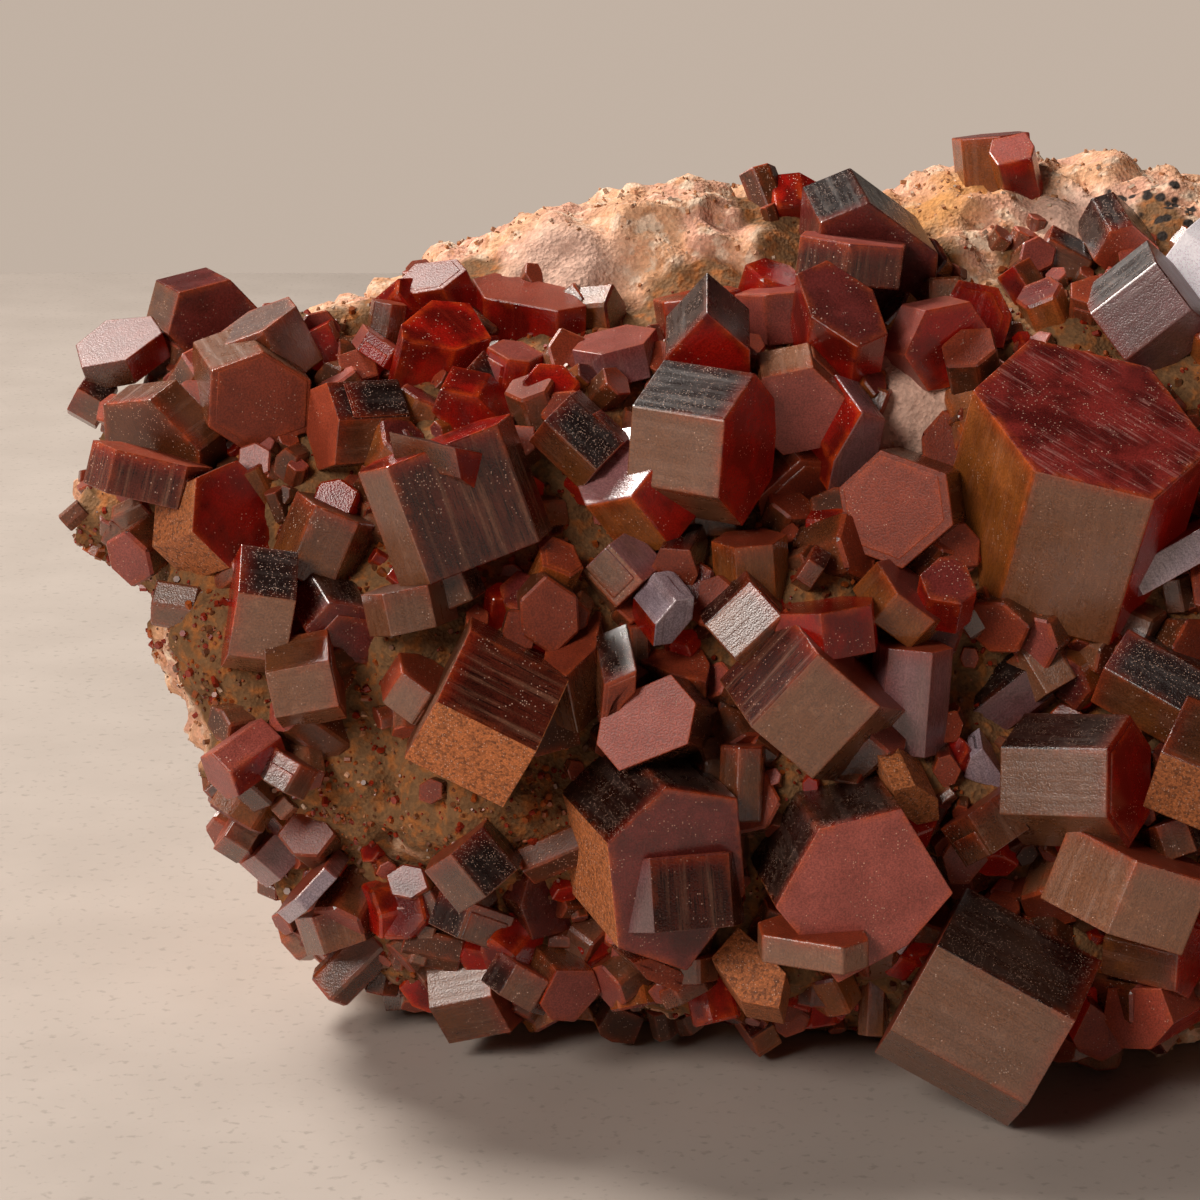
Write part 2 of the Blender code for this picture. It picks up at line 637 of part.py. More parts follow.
MIDDLE = (
    Drawing(
        "small_orange_end",
        [(543, 566), (571, 577), (584, 568), (574, 545), (553, 536), (540, 548)],
        (556, 608),
    ),
    Drawing("lilac_slant", [(616, 607), (645, 584), (665, 562)], (611, 547), lean=0.1, near=1),
    Drawing(
        "brown_round",
        [(655, 595), (650, 570), (660, 548), (690, 550), (698, 575), (690, 592)],
        (655, 560),
        lean=0.9,
        length=5,
    ),
    Drawing("dark_corner", [(548, 632), (578, 604), (602, 612)], (590, 660), lean=0.5, length=5),
    Drawing("small_dark", [(610, 625), (625, 618), (640, 628)], (626, 655), lean=0.3),
    Drawing("bluish_mirror", [(655, 625), (676, 600), (695, 597)], (668, 590), lean=0.75, length=4, near=1),
    Drawing(
        "dark_topped",
        [(640, 660), (672, 674), (706, 682), (710, 663), (700, 645), (665, 640)],
        (672, 700),
        length=5,
    ),
    Drawing(
        "salmon_end",
        [(671, 674), (696, 703), (688, 744), (619, 771), (596, 744), (603, 702)],
        (731, 711),
        near=4,
    ),
    Drawing(
        "dark_behind_salmon",
        [(600, 726), (604, 684), (637, 670), (636, 690), (622, 704), (613, 728)],
        (600, 664),
        lean=0.8,
        length=6,
        near=5,
    ),
    Drawing("striped_slab", [(787, 612), (815, 655), (883, 700)], (748, 727), lean=0.18, near=4),
    Drawing("dark_glitter_top", [(742, 590), (780, 611), (818, 632)], (733, 655), lean=0.1, near=2),
    Drawing("red_behind_slab", [(770, 601), (825, 613), (868, 618)], (830, 660), lean=0.15, near=1),
    Drawing("red_right_end", [(765, 541), (758, 498), (801, 460)], (742, 480), near=1),
    Drawing(
        "big_red_end",
        [(880, 450), (946, 474), (953, 525), (902, 569), (848, 549), (838, 488)],
        (968, 468),
        length=6,
        near=4,
    ),
    Drawing("lilac_wedge", [(833, 462), (862, 412), (886, 420), (880, 450)], (855, 402), lean=0.7, length=5),
    Drawing("brown_box", [(880, 561), (892, 597), (938, 617)], (866, 625), lean=0.3, near=1),
    Drawing(
        "red_small_end",
        [(928, 598), (961, 604), (977, 591), (965, 562), (940, 556), (919, 575)],
        (955, 635),
        near=2,
    ),
    Drawing("grey_cube", [(792, 575), (810, 558)], (826, 568)),
    Drawing("orange_box", [(712, 541), (734, 549), (772, 543)], (738, 612), lean=0.25, near=1),
    Drawing("olive_back", [(692, 510), (735, 505)], (735, 535)),
    Drawing("lilac_bar", [(873, 645), (888, 648), (932, 650), (953, 646)], (880, 753), lean=0.2, near=3),
    Drawing("glint_box", [(957, 690), (965, 720), (983, 748)], (1030, 670), lean=-0.05, near=2),
    Drawing("grey_bar", [(1018, 648), (1048, 634)], (1074, 678), lean=-0.1),
    Drawing("red_sided_box", [(1125, 718), (1107, 748), (1112, 815)], (1001, 745), near=4),
    Drawing("mirror_right", [(1142, 588), (1215, 556)], (1200, 530), lean=-0.1),
    Drawing("dark_topped_right", [(1120, 626), (1106, 666), (1093, 706)], (1235, 738), lean=-0.15, near=4),
    Drawing("granular_right", [(1128, 716), (1152, 800)], (1225, 830), lean=-0.1, near=2),
    Drawing("mauve_dot", [(932, 772), (938, 758), (950, 754), (961, 770)], (936, 750), lean=0.9, length=3),
    Drawing(
        "white_glitter",
        [(963, 777), (970, 757), (982, 748), (1002, 776), (1001, 789), (975, 782)],
        (968, 745),
        lean=0.85,
        length=3,
        near=1,
    ),
    Drawing("tan_cube", [(969, 824), (1000, 790)], (1025, 828), near=1),
    Drawing(
        "mauve_hexagon",
        [(942, 857), (953, 840), (980, 841), (988, 860), (968, 884), (950, 884)],
        (945, 830),
        lean=0.9,
        length=4,
        near=1,
    ),
    Drawing("rust_knob", [(893, 790), (915, 785), (938, 800)], (908, 770), lean=0.6, length=4),
    Drawing("olive_stub", [(735, 755), (760, 745)], (757, 820)),
)
LOWER_LEFT = (
    Drawing("slope_red", [(283, 745), (303, 766)], (287, 795), near=0.5),
    Drawing("pink_edge", [(221, 765), (215, 797), (238, 815)], (229, 787), lean=0.4, length=5),
    Drawing("pink_block", [(225, 836), (242, 808)], (266, 823), near=1),
    Drawing("lilac_box", [(253, 853), (280, 828)], (307, 852), lean=0.15, near=1),
    Drawing("bright_bar", [(294, 898), (325, 866)], (338, 878), near=1),
    Drawing("tan_front", [(312, 912), (355, 903)], (368, 940), near=2),
    Drawing("mauve_below", [(305, 941), (340, 970)], (353, 956)),
    Drawing("long_tan", [(424, 870), (451, 854), (483, 826)], (486, 897), lean=0.12, near=1),
    Drawing("sparkle_box", [(487, 945), (492, 995), (512, 1031)], (430, 1007), near=2),
    Drawing("tan_slab", [(463, 910), (512, 914)], (499, 949)),
    Drawing(
        "dark_red_block",
        [(521, 905), (530, 872), (562, 866), (585, 893), (591, 925), (533, 940)],
        (520, 868),
        lean=0.8,
        length=6,
    ),
    Drawing("mauve_cube", [(513, 966), (548, 979)], (530, 1010), near=0.5),
    Drawing(
        "mauve_trunk",
        [(540, 1004), (557, 970), (594, 970), (602, 992), (575, 1022), (552, 1020)],
        (550, 962),
        lean=0.8,
        length=5,
    ),
    Drawing("orange_cube", [(573, 1000), (599, 1008)], (597, 1027), near=0.5),
    Drawing(
        "tan_foot",
        [(598, 1028), (613, 1005), (645, 1018), (634, 1044), (612, 1042), (601, 1036)],
        (606, 990),
        lean=0.85,
        length=4,
    ),
    Drawing("olive_flat", [(412, 890), (433, 889)], (446, 916)),
    Drawing("tan_left_foot", [(398, 990), (425, 980)], (432, 1012)),
)
LOWER_MIDDLE = (
    Drawing(
        "big_mauve_end",
        [(618, 948), (607, 843), (666, 787), (738, 798), (746, 893), (687, 971)],
        (564, 797),
        near=3,
    ),
    Drawing("bar_over_mauve", [(618, 862), (650, 858), (728, 849), (740, 850)], (655, 931), lean=0.05, near=9),
    Drawing(
        "rose_end",
        [(775, 907), (818, 829), (901, 808), (953, 893), (908, 945), (838, 983)],
        (784, 774),
        near=3,
    ),
    Drawing("plate_over_rose", [(757, 925), (762, 937), (842, 953), (868, 925)], (762, 965), lean=0.4, near=7),
    Drawing(
        "white_tip",
        [(898, 904), (923, 923), (936, 900), (930, 893), (908, 890), (897, 897)],
        (906, 948),
        lean=0.7,
        length=4,
        near=8,
    ),
    Drawing("pink_below_mauve", [(633, 962), (650, 958), (681, 971)], (640, 950), lean=0.8, length=4),
    Drawing("pink_cube", [(672, 987), (698, 971)], (708, 990)),
    Drawing(
        "granular_lower",
        [(711, 957), (741, 1001), (779, 1008), (786, 973), (760, 945), (738, 926)],
        (750, 1028),
        near=2,
    ),
    Drawing("dark_foot", [(730, 1018), (752, 1040)], (775, 1025)),
    Drawing("olive_post", [(868, 978), (884, 976)], (882, 1035)),
    Drawing("olive_foot", [(800, 1000), (838, 1005)], (843, 1045)),
)
LOWER_RIGHT = (
    Drawing("bottom_crystal", [(1095, 956), (1078, 1023), (1030, 1105)], (945, 950), lean=-0.07, near=7),
    Drawing("grey_slab", [(1070, 828), (1135, 861), (1210, 878)], (1106, 933), lean=0.15, near=3),
    Drawing("red_sided_slab", [(1195, 925), (1178, 955), (1174, 991)], (1104, 937), near=1),
    Drawing(
        "orange_end",
        [(1107, 987), (1160, 988), (1173, 1023), (1150, 1049), (1120, 1048), (1102, 1018)],
        (1178, 978),
        lean=0.85,
        length=6,
    ),
    Drawing(
        "orange_small",
        [(1072, 1040), (1090, 1003), (1110, 1018), (1108, 1045), (1092, 1052), (1076, 1048)],
        (1080, 985),
        lean=0.8,
        length=4,
    ),
    Drawing("mauve_behind", [(1155, 828), (1183, 816)], (1195, 850)),
)


def crystals(heap):
    """Every crystal of the specimen as a prism, rooted in the stone."""
    regions = (
        UPPER_LEFT,
        UPPER_MIDDLE,
        UPPER_RIGHT,
        MIDDLE_LEFT,
        MIDDLE,
        LOWER_LEFT,
        LOWER_MIDDLE,
        LOWER_RIGHT,
    )
    prisms = [solve(drawing, heap) for region in regions for drawing in region]
    for prism in prisms:
        root(prism, heap)
        lift(prism)
    return prisms


def root(prism, heap):
    """Lengthens a crystal that points out of the stone until its foot is rooted in it."""
    line = (prism.centre - EYE).normalized()
    lean = max(0.0, -prism.outward.dot(line))
    extra = 0.0
    while extra < LONGEST_ROOT * lean * lean:
        foot = prism.centre - prism.outward * (prism.length + extra)
        if heap.holds(foot) > ROOT_DEPTH:
            prism.length += extra
            break
        extra += ROOT_STEP


# The right end, which the front view doesn't reach

RIGHT_END_SEED = 23
RIGHT_END_COLUMNS = range(1245, 1500, 88)
RIGHT_END_ROWS = range(250, 1000, 84)
RIGHT_END_RADII = (1.8, 4.8)  # millimetres
RIGHT_END_LENGTHS = (0.8, 1.4)  # as a share of the radius
RIGHT_END_TUMBLE = 0.4  # how far the crystals lean from the stone's normal
RIGHT_END_SCATTER = 26  # grid steps that a crystal may be off its place in the rows


def right_end_crystals(heap):
    """Crystals scattered over the end of the specimen, sizes and turns like the drawn ones."""
    dice = random.Random(RIGHT_END_SEED)
    prisms = []
    for column in RIGHT_END_COLUMNS:
        for row in RIGHT_END_ROWS:
            off = [dice.uniform(-RIGHT_END_SCATTER, RIGHT_END_SCATTER) for _ in range(2)]
            hit, normal = heap.hit(grid_vector((column + off[0], row + off[1])))
            radius = dice.uniform(*RIGHT_END_RADII) * MM
            if hit is None:
                continue
            tumble = Vector([dice.gauss(0, RIGHT_END_TUMBLE) for _ in range(3)])
            outward = (normal + tumble).normalized()
            length = radius * dice.uniform(*RIGHT_END_LENGTHS)
            prisms.append(regular_prism(f"right_end_{len(prisms) + 1}", hit, outward, radius, length, dice))
    return prisms


def regular_prism(name, foot, outward, radius, length, dice):
    """A regular prism that stands out of a point of the stone by its length."""
    side = outward.orthogonal().normalized()
    side.rotate(Matrix.Rotation(dice.uniform(0, math.pi / 3), 3, outward))
    other = outward.cross(side)
    centre = foot + outward * length
    ring = []
    for index in range(6):
        angle = index * math.pi / 3
        ring.append(centre + (side * math.cos(angle) + other * math.sin(angle)) * radius)
    return Prism(name, ring, outward, length + ROOT_DEPTH)


def lift(prism):
    """Keeps a crystal above the resting surface: shorter first, then nearer the eye."""
    least = SHORTEST_LIFTED * prism.radius
    while prism.lowest() < LOWEST_CORNER and prism.length > least and prism.outward.z > 0:
        prism.length -= ROOT_STEP
    drop = EYE.z - prism.lowest()
    if prism.lowest() < LOWEST_CORNER:
        prism.shrink_towards(EYE, (EYE.z - LOWEST_CORNER) / drop)


# Solids


def shared(small, large, dice):
    """Share of the small crystal's inside that lies inside the large one."""
    if (small.middle() - large.middle()).length > small.reach() + large.reach():
        return 0.0
    planes = large.planes()
    count = 0
    for _ in range(SAMPLES):
        point = small.point_inside(dice)
        count += all((point - corner).dot(normal) < 0 for corner, normal in planes)
    return count / SAMPLES


def grouped(prisms):
    """Lists of crystals that share space, largest crystals first."""
    dice = random.Random(SAMPLE_SEED)
    groups = []
    for prism in sorted(prisms, key=Prism.size, reverse=True):
        shares = []
        for group in groups:
            if len(group) < MOST_JOINED:
                shares.append((max(shared(prism, other, dice) for other in group), len(shares), group))
        best = max(shares, key=lambda entry: entry[0], default=(0.0, 0, []))
        if best[0] > JOINED_SHARE:
            best[2].append(prism)
        else:
            groups.append([prism])
    return groups[: MOST_NODES - 1]


def prism_object(name, prisms):
    """Closed prisms in one helper object."""
    shape = bmesh.new()
    for prism in prisms:
        near = [shape.verts.new(corner) for corner in prism.ring]
        far = [shape.verts.new(corner - prism.outward * prism.length) for corner in prism.ring]
        shape.faces.new(near)
        shape.faces.new(far[::-1])
        for index in range(6):
            after = (index + 1) % 6
            shape.faces.new((near[index], far[index], far[after], near[after]))
    bmesh.ops.recalc_face_normals(shape, faces=shape.faces)
    mesh = bpy.data.meshes.new(name)
    shape.to_mesh(mesh)
    shape.free()
    result = bpy.data.objects.new(name, mesh)
    bpy.context.scene.collection.objects.link(result)
    return result


def carve(target, operation, helpers):
    """Adds one exact Boolean per helper to the target."""
    for helper in helpers:
        boolean = target.modifiers.new(helper.name, "BOOLEAN")
        boolean.operation = operation
        boolean.solver = "EXACT"
        boolean.object = helper


def finished(target, name):
    """The solid that the target's Booleans give, tidied, as an object of its own."""
    helpers = [boolean.object for boolean in target.modifiers]
    target.name = "worked"
    result = evaluated_copy(target, name)
    for helper in helpers:
        bpy.data.objects.remove(helper)
    shape = bmesh.new()
    shape.from_mesh(result.data)
    tidy(shape)
    shape.to_mesh(result.data)
    shape.free()
    return result


def near_each_other(group, other):
    """Whether a crystal could touch any crystal of a group."""
    return any((one.middle() - other.middle()).length < one.reach() + other.reach() + SEAM for one in group)


def crystal_solid(group, larger):
    """One solid from the crystals of a group, cut back from the larger crystals round it."""
    target = prism_object("target", group[:1])
    carve(target, "UNION", [prism_object("joined", [prism]) for prism in group[1:]])
    around = [prism.grown(SEAM) for prism in larger if near_each_other(group, prism)]
    carve(target, "DIFFERENCE", [prism_object("cutter", [prism]) for prism in around])
    return finished(target, f"crystal_{group[0].name}")


def painted(target, name, shade, roughness):
    """Gives a solid its own material."""
    material = bpy.data.materials.new(name)
    material.use_nodes = True
    shader = material.node_tree.nodes["Principled BSDF"]
    shader.inputs["Base Color"].default_value = shade + (1.0,)
    shader.inputs["Roughness"].default_value = roughness
    shader.inputs["Metallic"].default_value = 0.0
    target.data.materials.clear()
    target.data.materials.append(material)


def centred(solids):
    """Moves all solids so that the middle of their box is over the origin."""
    corners = [vertex.co for solid in solids for vertex in solid.data.vertices]
    middle = Vector()
    for axis in range(2):
        values = [corner[axis] for corner in corners]
        middle[axis] = (min(values) + max(values)) / 2
    for solid in solids:
        solid.data.transform(Matrix.Translation(-middle))
    print("moved by", [round(value / MM, 3) for value in -middle])


def main():
    for item in list(bpy.data.objects):
        bpy.data.objects.remove(item)
    heap = Heap(ALL_LOBES)
    groups = grouped(crystals(heap) + right_end_crystals(heap))
    solids = []
    larger = []
    for group in groups:
        solids.append(crystal_solid(group, larger))
        larger += group
    matrix = rough_stone()
    carve(matrix, "DIFFERENCE", [prism_object("socket", [prism.grown(SEAM)]) for prism in larger])
    matrix = finished(matrix, "matrix")
    for index, solid in enumerate(solids):
        painted(solid, solid.name, CRYSTAL_SHADES[index % len(CRYSTAL_SHADES)], CRYSTAL_ROUGHNESS)
    painted(matrix, "matrix", STONE_SHADE, STONE_GLOSS)
    centred(solids + [matrix])


if __name__ == "__main__":
    main()
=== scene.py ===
"""Vanadinite on matrix, dressed: crystals face by face, a grained stone and a fine crystal crust.

The specimen is laid out on the grid of its front view, as its solids are. A drawing gives one end
face and one long edge of a crystal, and the mineral's six-fold shape gives the rest. Every crystal
is grown from a cylinder of six sides, chamfered and stepped, and each of its faces takes a finish.
"""

import logging
import math
import random
from dataclasses import dataclass, field, replace
from enum import Enum
from typing import Callable, Iterable, Optional, Sequence

import bmesh
import bpy
from mathutils import Color, Matrix, Vector, noise


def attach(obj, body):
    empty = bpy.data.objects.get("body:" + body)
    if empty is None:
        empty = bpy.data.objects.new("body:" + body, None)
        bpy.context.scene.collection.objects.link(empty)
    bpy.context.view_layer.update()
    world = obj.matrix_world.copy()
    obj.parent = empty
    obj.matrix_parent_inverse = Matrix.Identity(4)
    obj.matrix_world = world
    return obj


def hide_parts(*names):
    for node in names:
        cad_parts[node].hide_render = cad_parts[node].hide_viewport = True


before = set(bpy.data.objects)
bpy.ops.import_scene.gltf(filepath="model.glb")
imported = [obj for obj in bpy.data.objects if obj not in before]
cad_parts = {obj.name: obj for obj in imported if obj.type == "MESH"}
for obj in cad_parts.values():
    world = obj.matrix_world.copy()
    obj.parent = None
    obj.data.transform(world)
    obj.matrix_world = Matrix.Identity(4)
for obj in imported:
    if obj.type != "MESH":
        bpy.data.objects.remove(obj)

LOG = logging.getLogger("vanadinite")
BODY = "root"
MM = 0.001
SIXTH = math.pi / 3  # of a full turn

# The grid of the front view, and the eye that looks at it
GRID_STEP = 0.07 * MM
GRID_MIDDLE = 600
MIDDLE_HEIGHT = 39.6 * MM
VIEW_TILT = math.radians(14.0)
VIEW_DISTANCE = 233.0 * MM
VIEW_RIGHT = Vector((1.0, 0.0, 0.0))
VIEW_UP = Vector((0.0, math.sin(VIEW_TILT), math.cos(VIEW_TILT)))
VIEW_AWAY = Vector((0.0, math.cos(VIEW_TILT), -math.sin(VIEW_TILT)))
VIEW_MIDDLE = Vector((0.0, 0.0, MIDDLE_HEIGHT))
EYE = VIEW_MIDDLE - VIEW_AWAY * VIEW_DISTANCE
TO_RECORD = Vector((-16.117, -29.59, 0.0)) * MM  # from the grid's frame to the record's

# How a drawing becomes a crystal, with lean as the cosine between its axis and the line of sight
SLIGHT_LEAN = 0.1
MOST_LEAN = 0.97
FACE_ON = 0.5
LEAST_DRAWN_LEAN = 0.2
LONGEST_SHARE = 2.3  # of the radius, for a crystal seen end on

# How crystals sit in the stone
STAND_OUT = 0.3  # of the radius
ROOT_DEPTH = 1.6 * MM
ROOT_STEP = 0.4 * MM
LONGEST_ROOT = 8.0 * MM
LOWEST_CORNER = 0.3 * MM
SHORTEST_LIFTED = 0.55  # of the radius
SHORTEST_STEP = 0.3 * MM

# How far a face's normal has to turn for the finish of an end, a top or a flank
END_ON = 0.7
# Faces turned up take the top finish, on most crystals a near-black painted dark reflection of the room
# above
FACES_UP = 0.35
FACES_ASIDE = 0.25
# Share of the painted rim light, orange standing in for light through thin edges, on rims away from the end
# face
LOW_RIM_LIGHT = 0.45

Point = tuple[float, float]


def clamped(value: float, least: float = 0.0, most: float = 1.0) -> float:
    """A value held between two others."""
    return min(most, max(least, value))


# Lobes of the stone: grid column and row, front and back depth and radius in millimetres
RIDGE_LOBES = (
    (480, 330, 30, 56, 7.0),
    (570, 312, 30, 58, 8.4),
    (680, 290, 30, 60, 9.4),
    (780, 300, 31, 60, 9.0),
    (860, 300, 33, 60, 8.0),
    (940, 270, 33, 60, 8.5),
    (1040, 262, 34, 60, 8.5),
    (1130, 265, 32, 60, 8.5),
    (1220, 275, 30, 58, 9.0),
    (1300, 330, 27, 56, 10.0),
    (1370, 420, 24, 54, 11.0),
)
LEFT_LOBES = (
    (390, 380, 26, 50, 7.0),
    (300, 400, 25, 46, 7.0),
    (215, 415, 27, 44, 6.0),
    (150, 450, 26, 42, 4.5),
    (110, 520, 24, 38, 3.6),
    (220, 520, 20, 44, 7.5),
    (230, 640, 15, 42, 6.6),
    (290, 745, 13, 42, 6.2),
    (330, 870, 22, 44, 5.0),
    (420, 905, 19, 50, 6.5),
)
MIDDLE_LOBES = (
    (330, 520, 18, 50, 9.0),
    (450, 480, 15, 54, 10.0),
    (580, 460, 15, 56, 11.0),
    (700, 440, 17, 58, 11.0),
    (820, 430, 17, 58, 11.0),
    (910, 420, 16, 58, 10.0),
    (1040, 420, 17, 58, 11.0),
    (1170, 420, 18, 58, 11.0),
    (1290, 470, 18, 56, 11.0),
    (1400, 530, 20, 52, 10.0),
    (330, 640, 14, 48, 8.5),
    (440, 640, 11, 54, 10.0),
    (560, 630, 11, 56, 11.0),
    (680, 620, 12, 58, 11.0),
    (800, 610, 11, 58, 11.0),
    (920, 600, 13, 58, 11.0),
    (1050, 600, 13, 58, 11.0),
    (1180, 620, 13, 58, 11.0),
    (1300, 640, 13, 56, 11.0),
    (1400, 670, 17, 50, 10.0),
)
LOWER_LOBES = (
    (380, 770, 13, 48, 8.0),
    (500, 780, 9, 54, 9.5),
    (620, 780, 11, 56, 11.0),
    (740, 780, 10, 58, 11.0),
    (860, 780, 9, 58, 11.0),
    (980, 790, 12, 58, 11.0),
    (1100, 790, 11, 58, 11.0),
    (1220, 790, 12, 56, 11.0),
    (1330, 790, 14, 54, 9.5),
    (540, 925, 15, 54, 7.0),
    (660, 925, 13, 56, 7.0),
    (780, 925, 12, 56, 7.5),
    (900, 935, 13, 56, 8.0),
    (1020, 945, 12, 56, 8.5),
    (1140, 945, 12, 56, 8.0),
    (1250, 930, 13, 54, 8.0),
    (1340, 905, 16, 50, 7.0),
)
BASE_LOBES = (
    (480, 935, 26, 52, 8.0),
    (620, 960, 28, 56, 9.0),
    (780, 965, 28, 58, 9.0),
    (940, 965, 28, 58, 9.0),
    (1100, 960, 28, 56, 9.0),
    (1240, 940, 26, 52, 8.0),
)
ALL_LOBES = RIDGE_LOBES + LEFT_LOBES + MIDDLE_LOBES + LOWER_LOBES + BASE_LOBES


class Skin(Enum):
    """How one face of a crystal is finished."""

    SATIN = "satin_side"
    TAN = "tan_side"
    AMBER = "amber_side"
    SPARKLE = "sparkling_side"
    STREAKED = "streaked_side"
    GRAINED = "grained_side"
    GLOSSY = "glossy_side"
    MIRROR = "mirror_side"
    GLARE = "glaring_side"
    GLOW = "glowing_red"
    BRICK = "brick_end"
    MAROON = "maroon_end"
    MAUVE = "mauve_end"
    SALMON = "salmon_end"
    SCRATCHED = "scratched_end"
    BROWN = "brown_end"


(SATIN, TAN, AMBER, SPARKLE, STREAKED, GRAINED, GLOSSY, MIRROR) = list(Skin)[:8]
(GLARE, GLOW, BRICK, MAROON, MAUVE, SALMON, SCRATCHED, BROWN) = list(Skin)[8:]


@dataclass(frozen=True)
class Look:
    """Which finish each face of one crystal takes."""

    end: Skin = BRICK
    side: Skin = SATIN
    top: Skin = SPARKLE
    left: Optional[Skin] = None
    right: Optional[Skin] = None
    tint: float = 0.5


def grid_vector(point: Point) -> Vector:
    """A grid point as plane coordinates, right and up from the view's middle."""
    return Vector((point[0] - GRID_MIDDLE, GRID_MIDDLE - point[1])) * GRID_STEP


def sight(flat: Vector) -> Vector:
    """Direction from the eye through a point of the view plane."""
    return (VIEW_AWAY * VIEW_DISTANCE + VIEW_RIGHT * flat.x + VIEW_UP * flat.y).normalized()


def in_space(flat: Vector, depth: float) -> Vector:
    """The point behind a point of the view plane, at a depth behind the specimen's middle."""
    line = sight(flat)
    return EYE + line * ((VIEW_DISTANCE + depth) / line.dot(VIEW_AWAY))


def on_plane(flat: Vector, point: Vector, normal: Vector) -> Vector:
    """Where the line of sight through a point of the view plane meets a plane."""
    line = sight(flat)
    return EYE + line * ((point - EYE).dot(normal) / line.dot(normal))


@dataclass
class Drawing:
    """One crystal as drawn on the front view's grid.

    corners are two to six corners of an end face, in order round it, and tail is the far end of the
    edge that starts at the second one. lean says how squarely the end face is seen. length, and near,
    which is how far it stands nearer the eye than its size puts it, are in millimetres.
    """

    name: str
    corners: Sequence[Point]
    tail: Point
    lean: Optional[float] = None
    length: Optional[float] = None
    near: float = 0.0
    look: Look = Look()

    def flat_corners(self) -> list[Vector]:
        """The corners as plane coordinates."""
        return [grid_vector(corner) for corner in self.corners]


@dataclass
class Prism:
    """A crystal in space: the ring of its six free corners, its axis and its length."""

    name: str
    ring: list[Vector]
    outward: Vector
    length: float
    look: Look = field(default_factory=Look)

    @property
    def centre(self) -> Vector:
        """Middle of the free end face."""
        return sum(self.ring, Vector()) / len(self.ring)

    @property
    def radius(self) -> float:
        """Distance of the farthest corner from the axis."""
        centre = self.centre
        return max((corner - centre).length for corner in self.ring)

    def lowest(self) -> float:
        """Height of the lowest corner."""
        return min(min(corner.z, (corner - self.outward * self.length).z) for corner in self.ring)

    def scaled(self, point: Vector, scale: float) -> "Prism":
        """The crystal scaled about a point."""
        ring = [point + (corner - point) * scale for corner in self.ring]
        return replace(self, ring=ring, length=self.length * scale)

    def moved(self, shift: Vector) -> "Prism":
        """The crystal moved by a vector."""
        return replace(self, ring=[corner + shift for corner in self.ring])

    def holds(self, point: Vector) -> bool:
        """Whether a point lies inside the crystal."""
        centre = self.centre
        away = point - centre
        height = away.dot(self.outward)
        if not -self.length < height < 0:
            return False
        for corner, following in zip(self.ring, self.ring[1:] + self.ring[:1]):
            side = (following - corner).cross(self.outward).normalized()
            if side.dot(corner - centre) < 0:
                side = -side
            if (point - corner).dot(side) > 0:
                return False
        return True


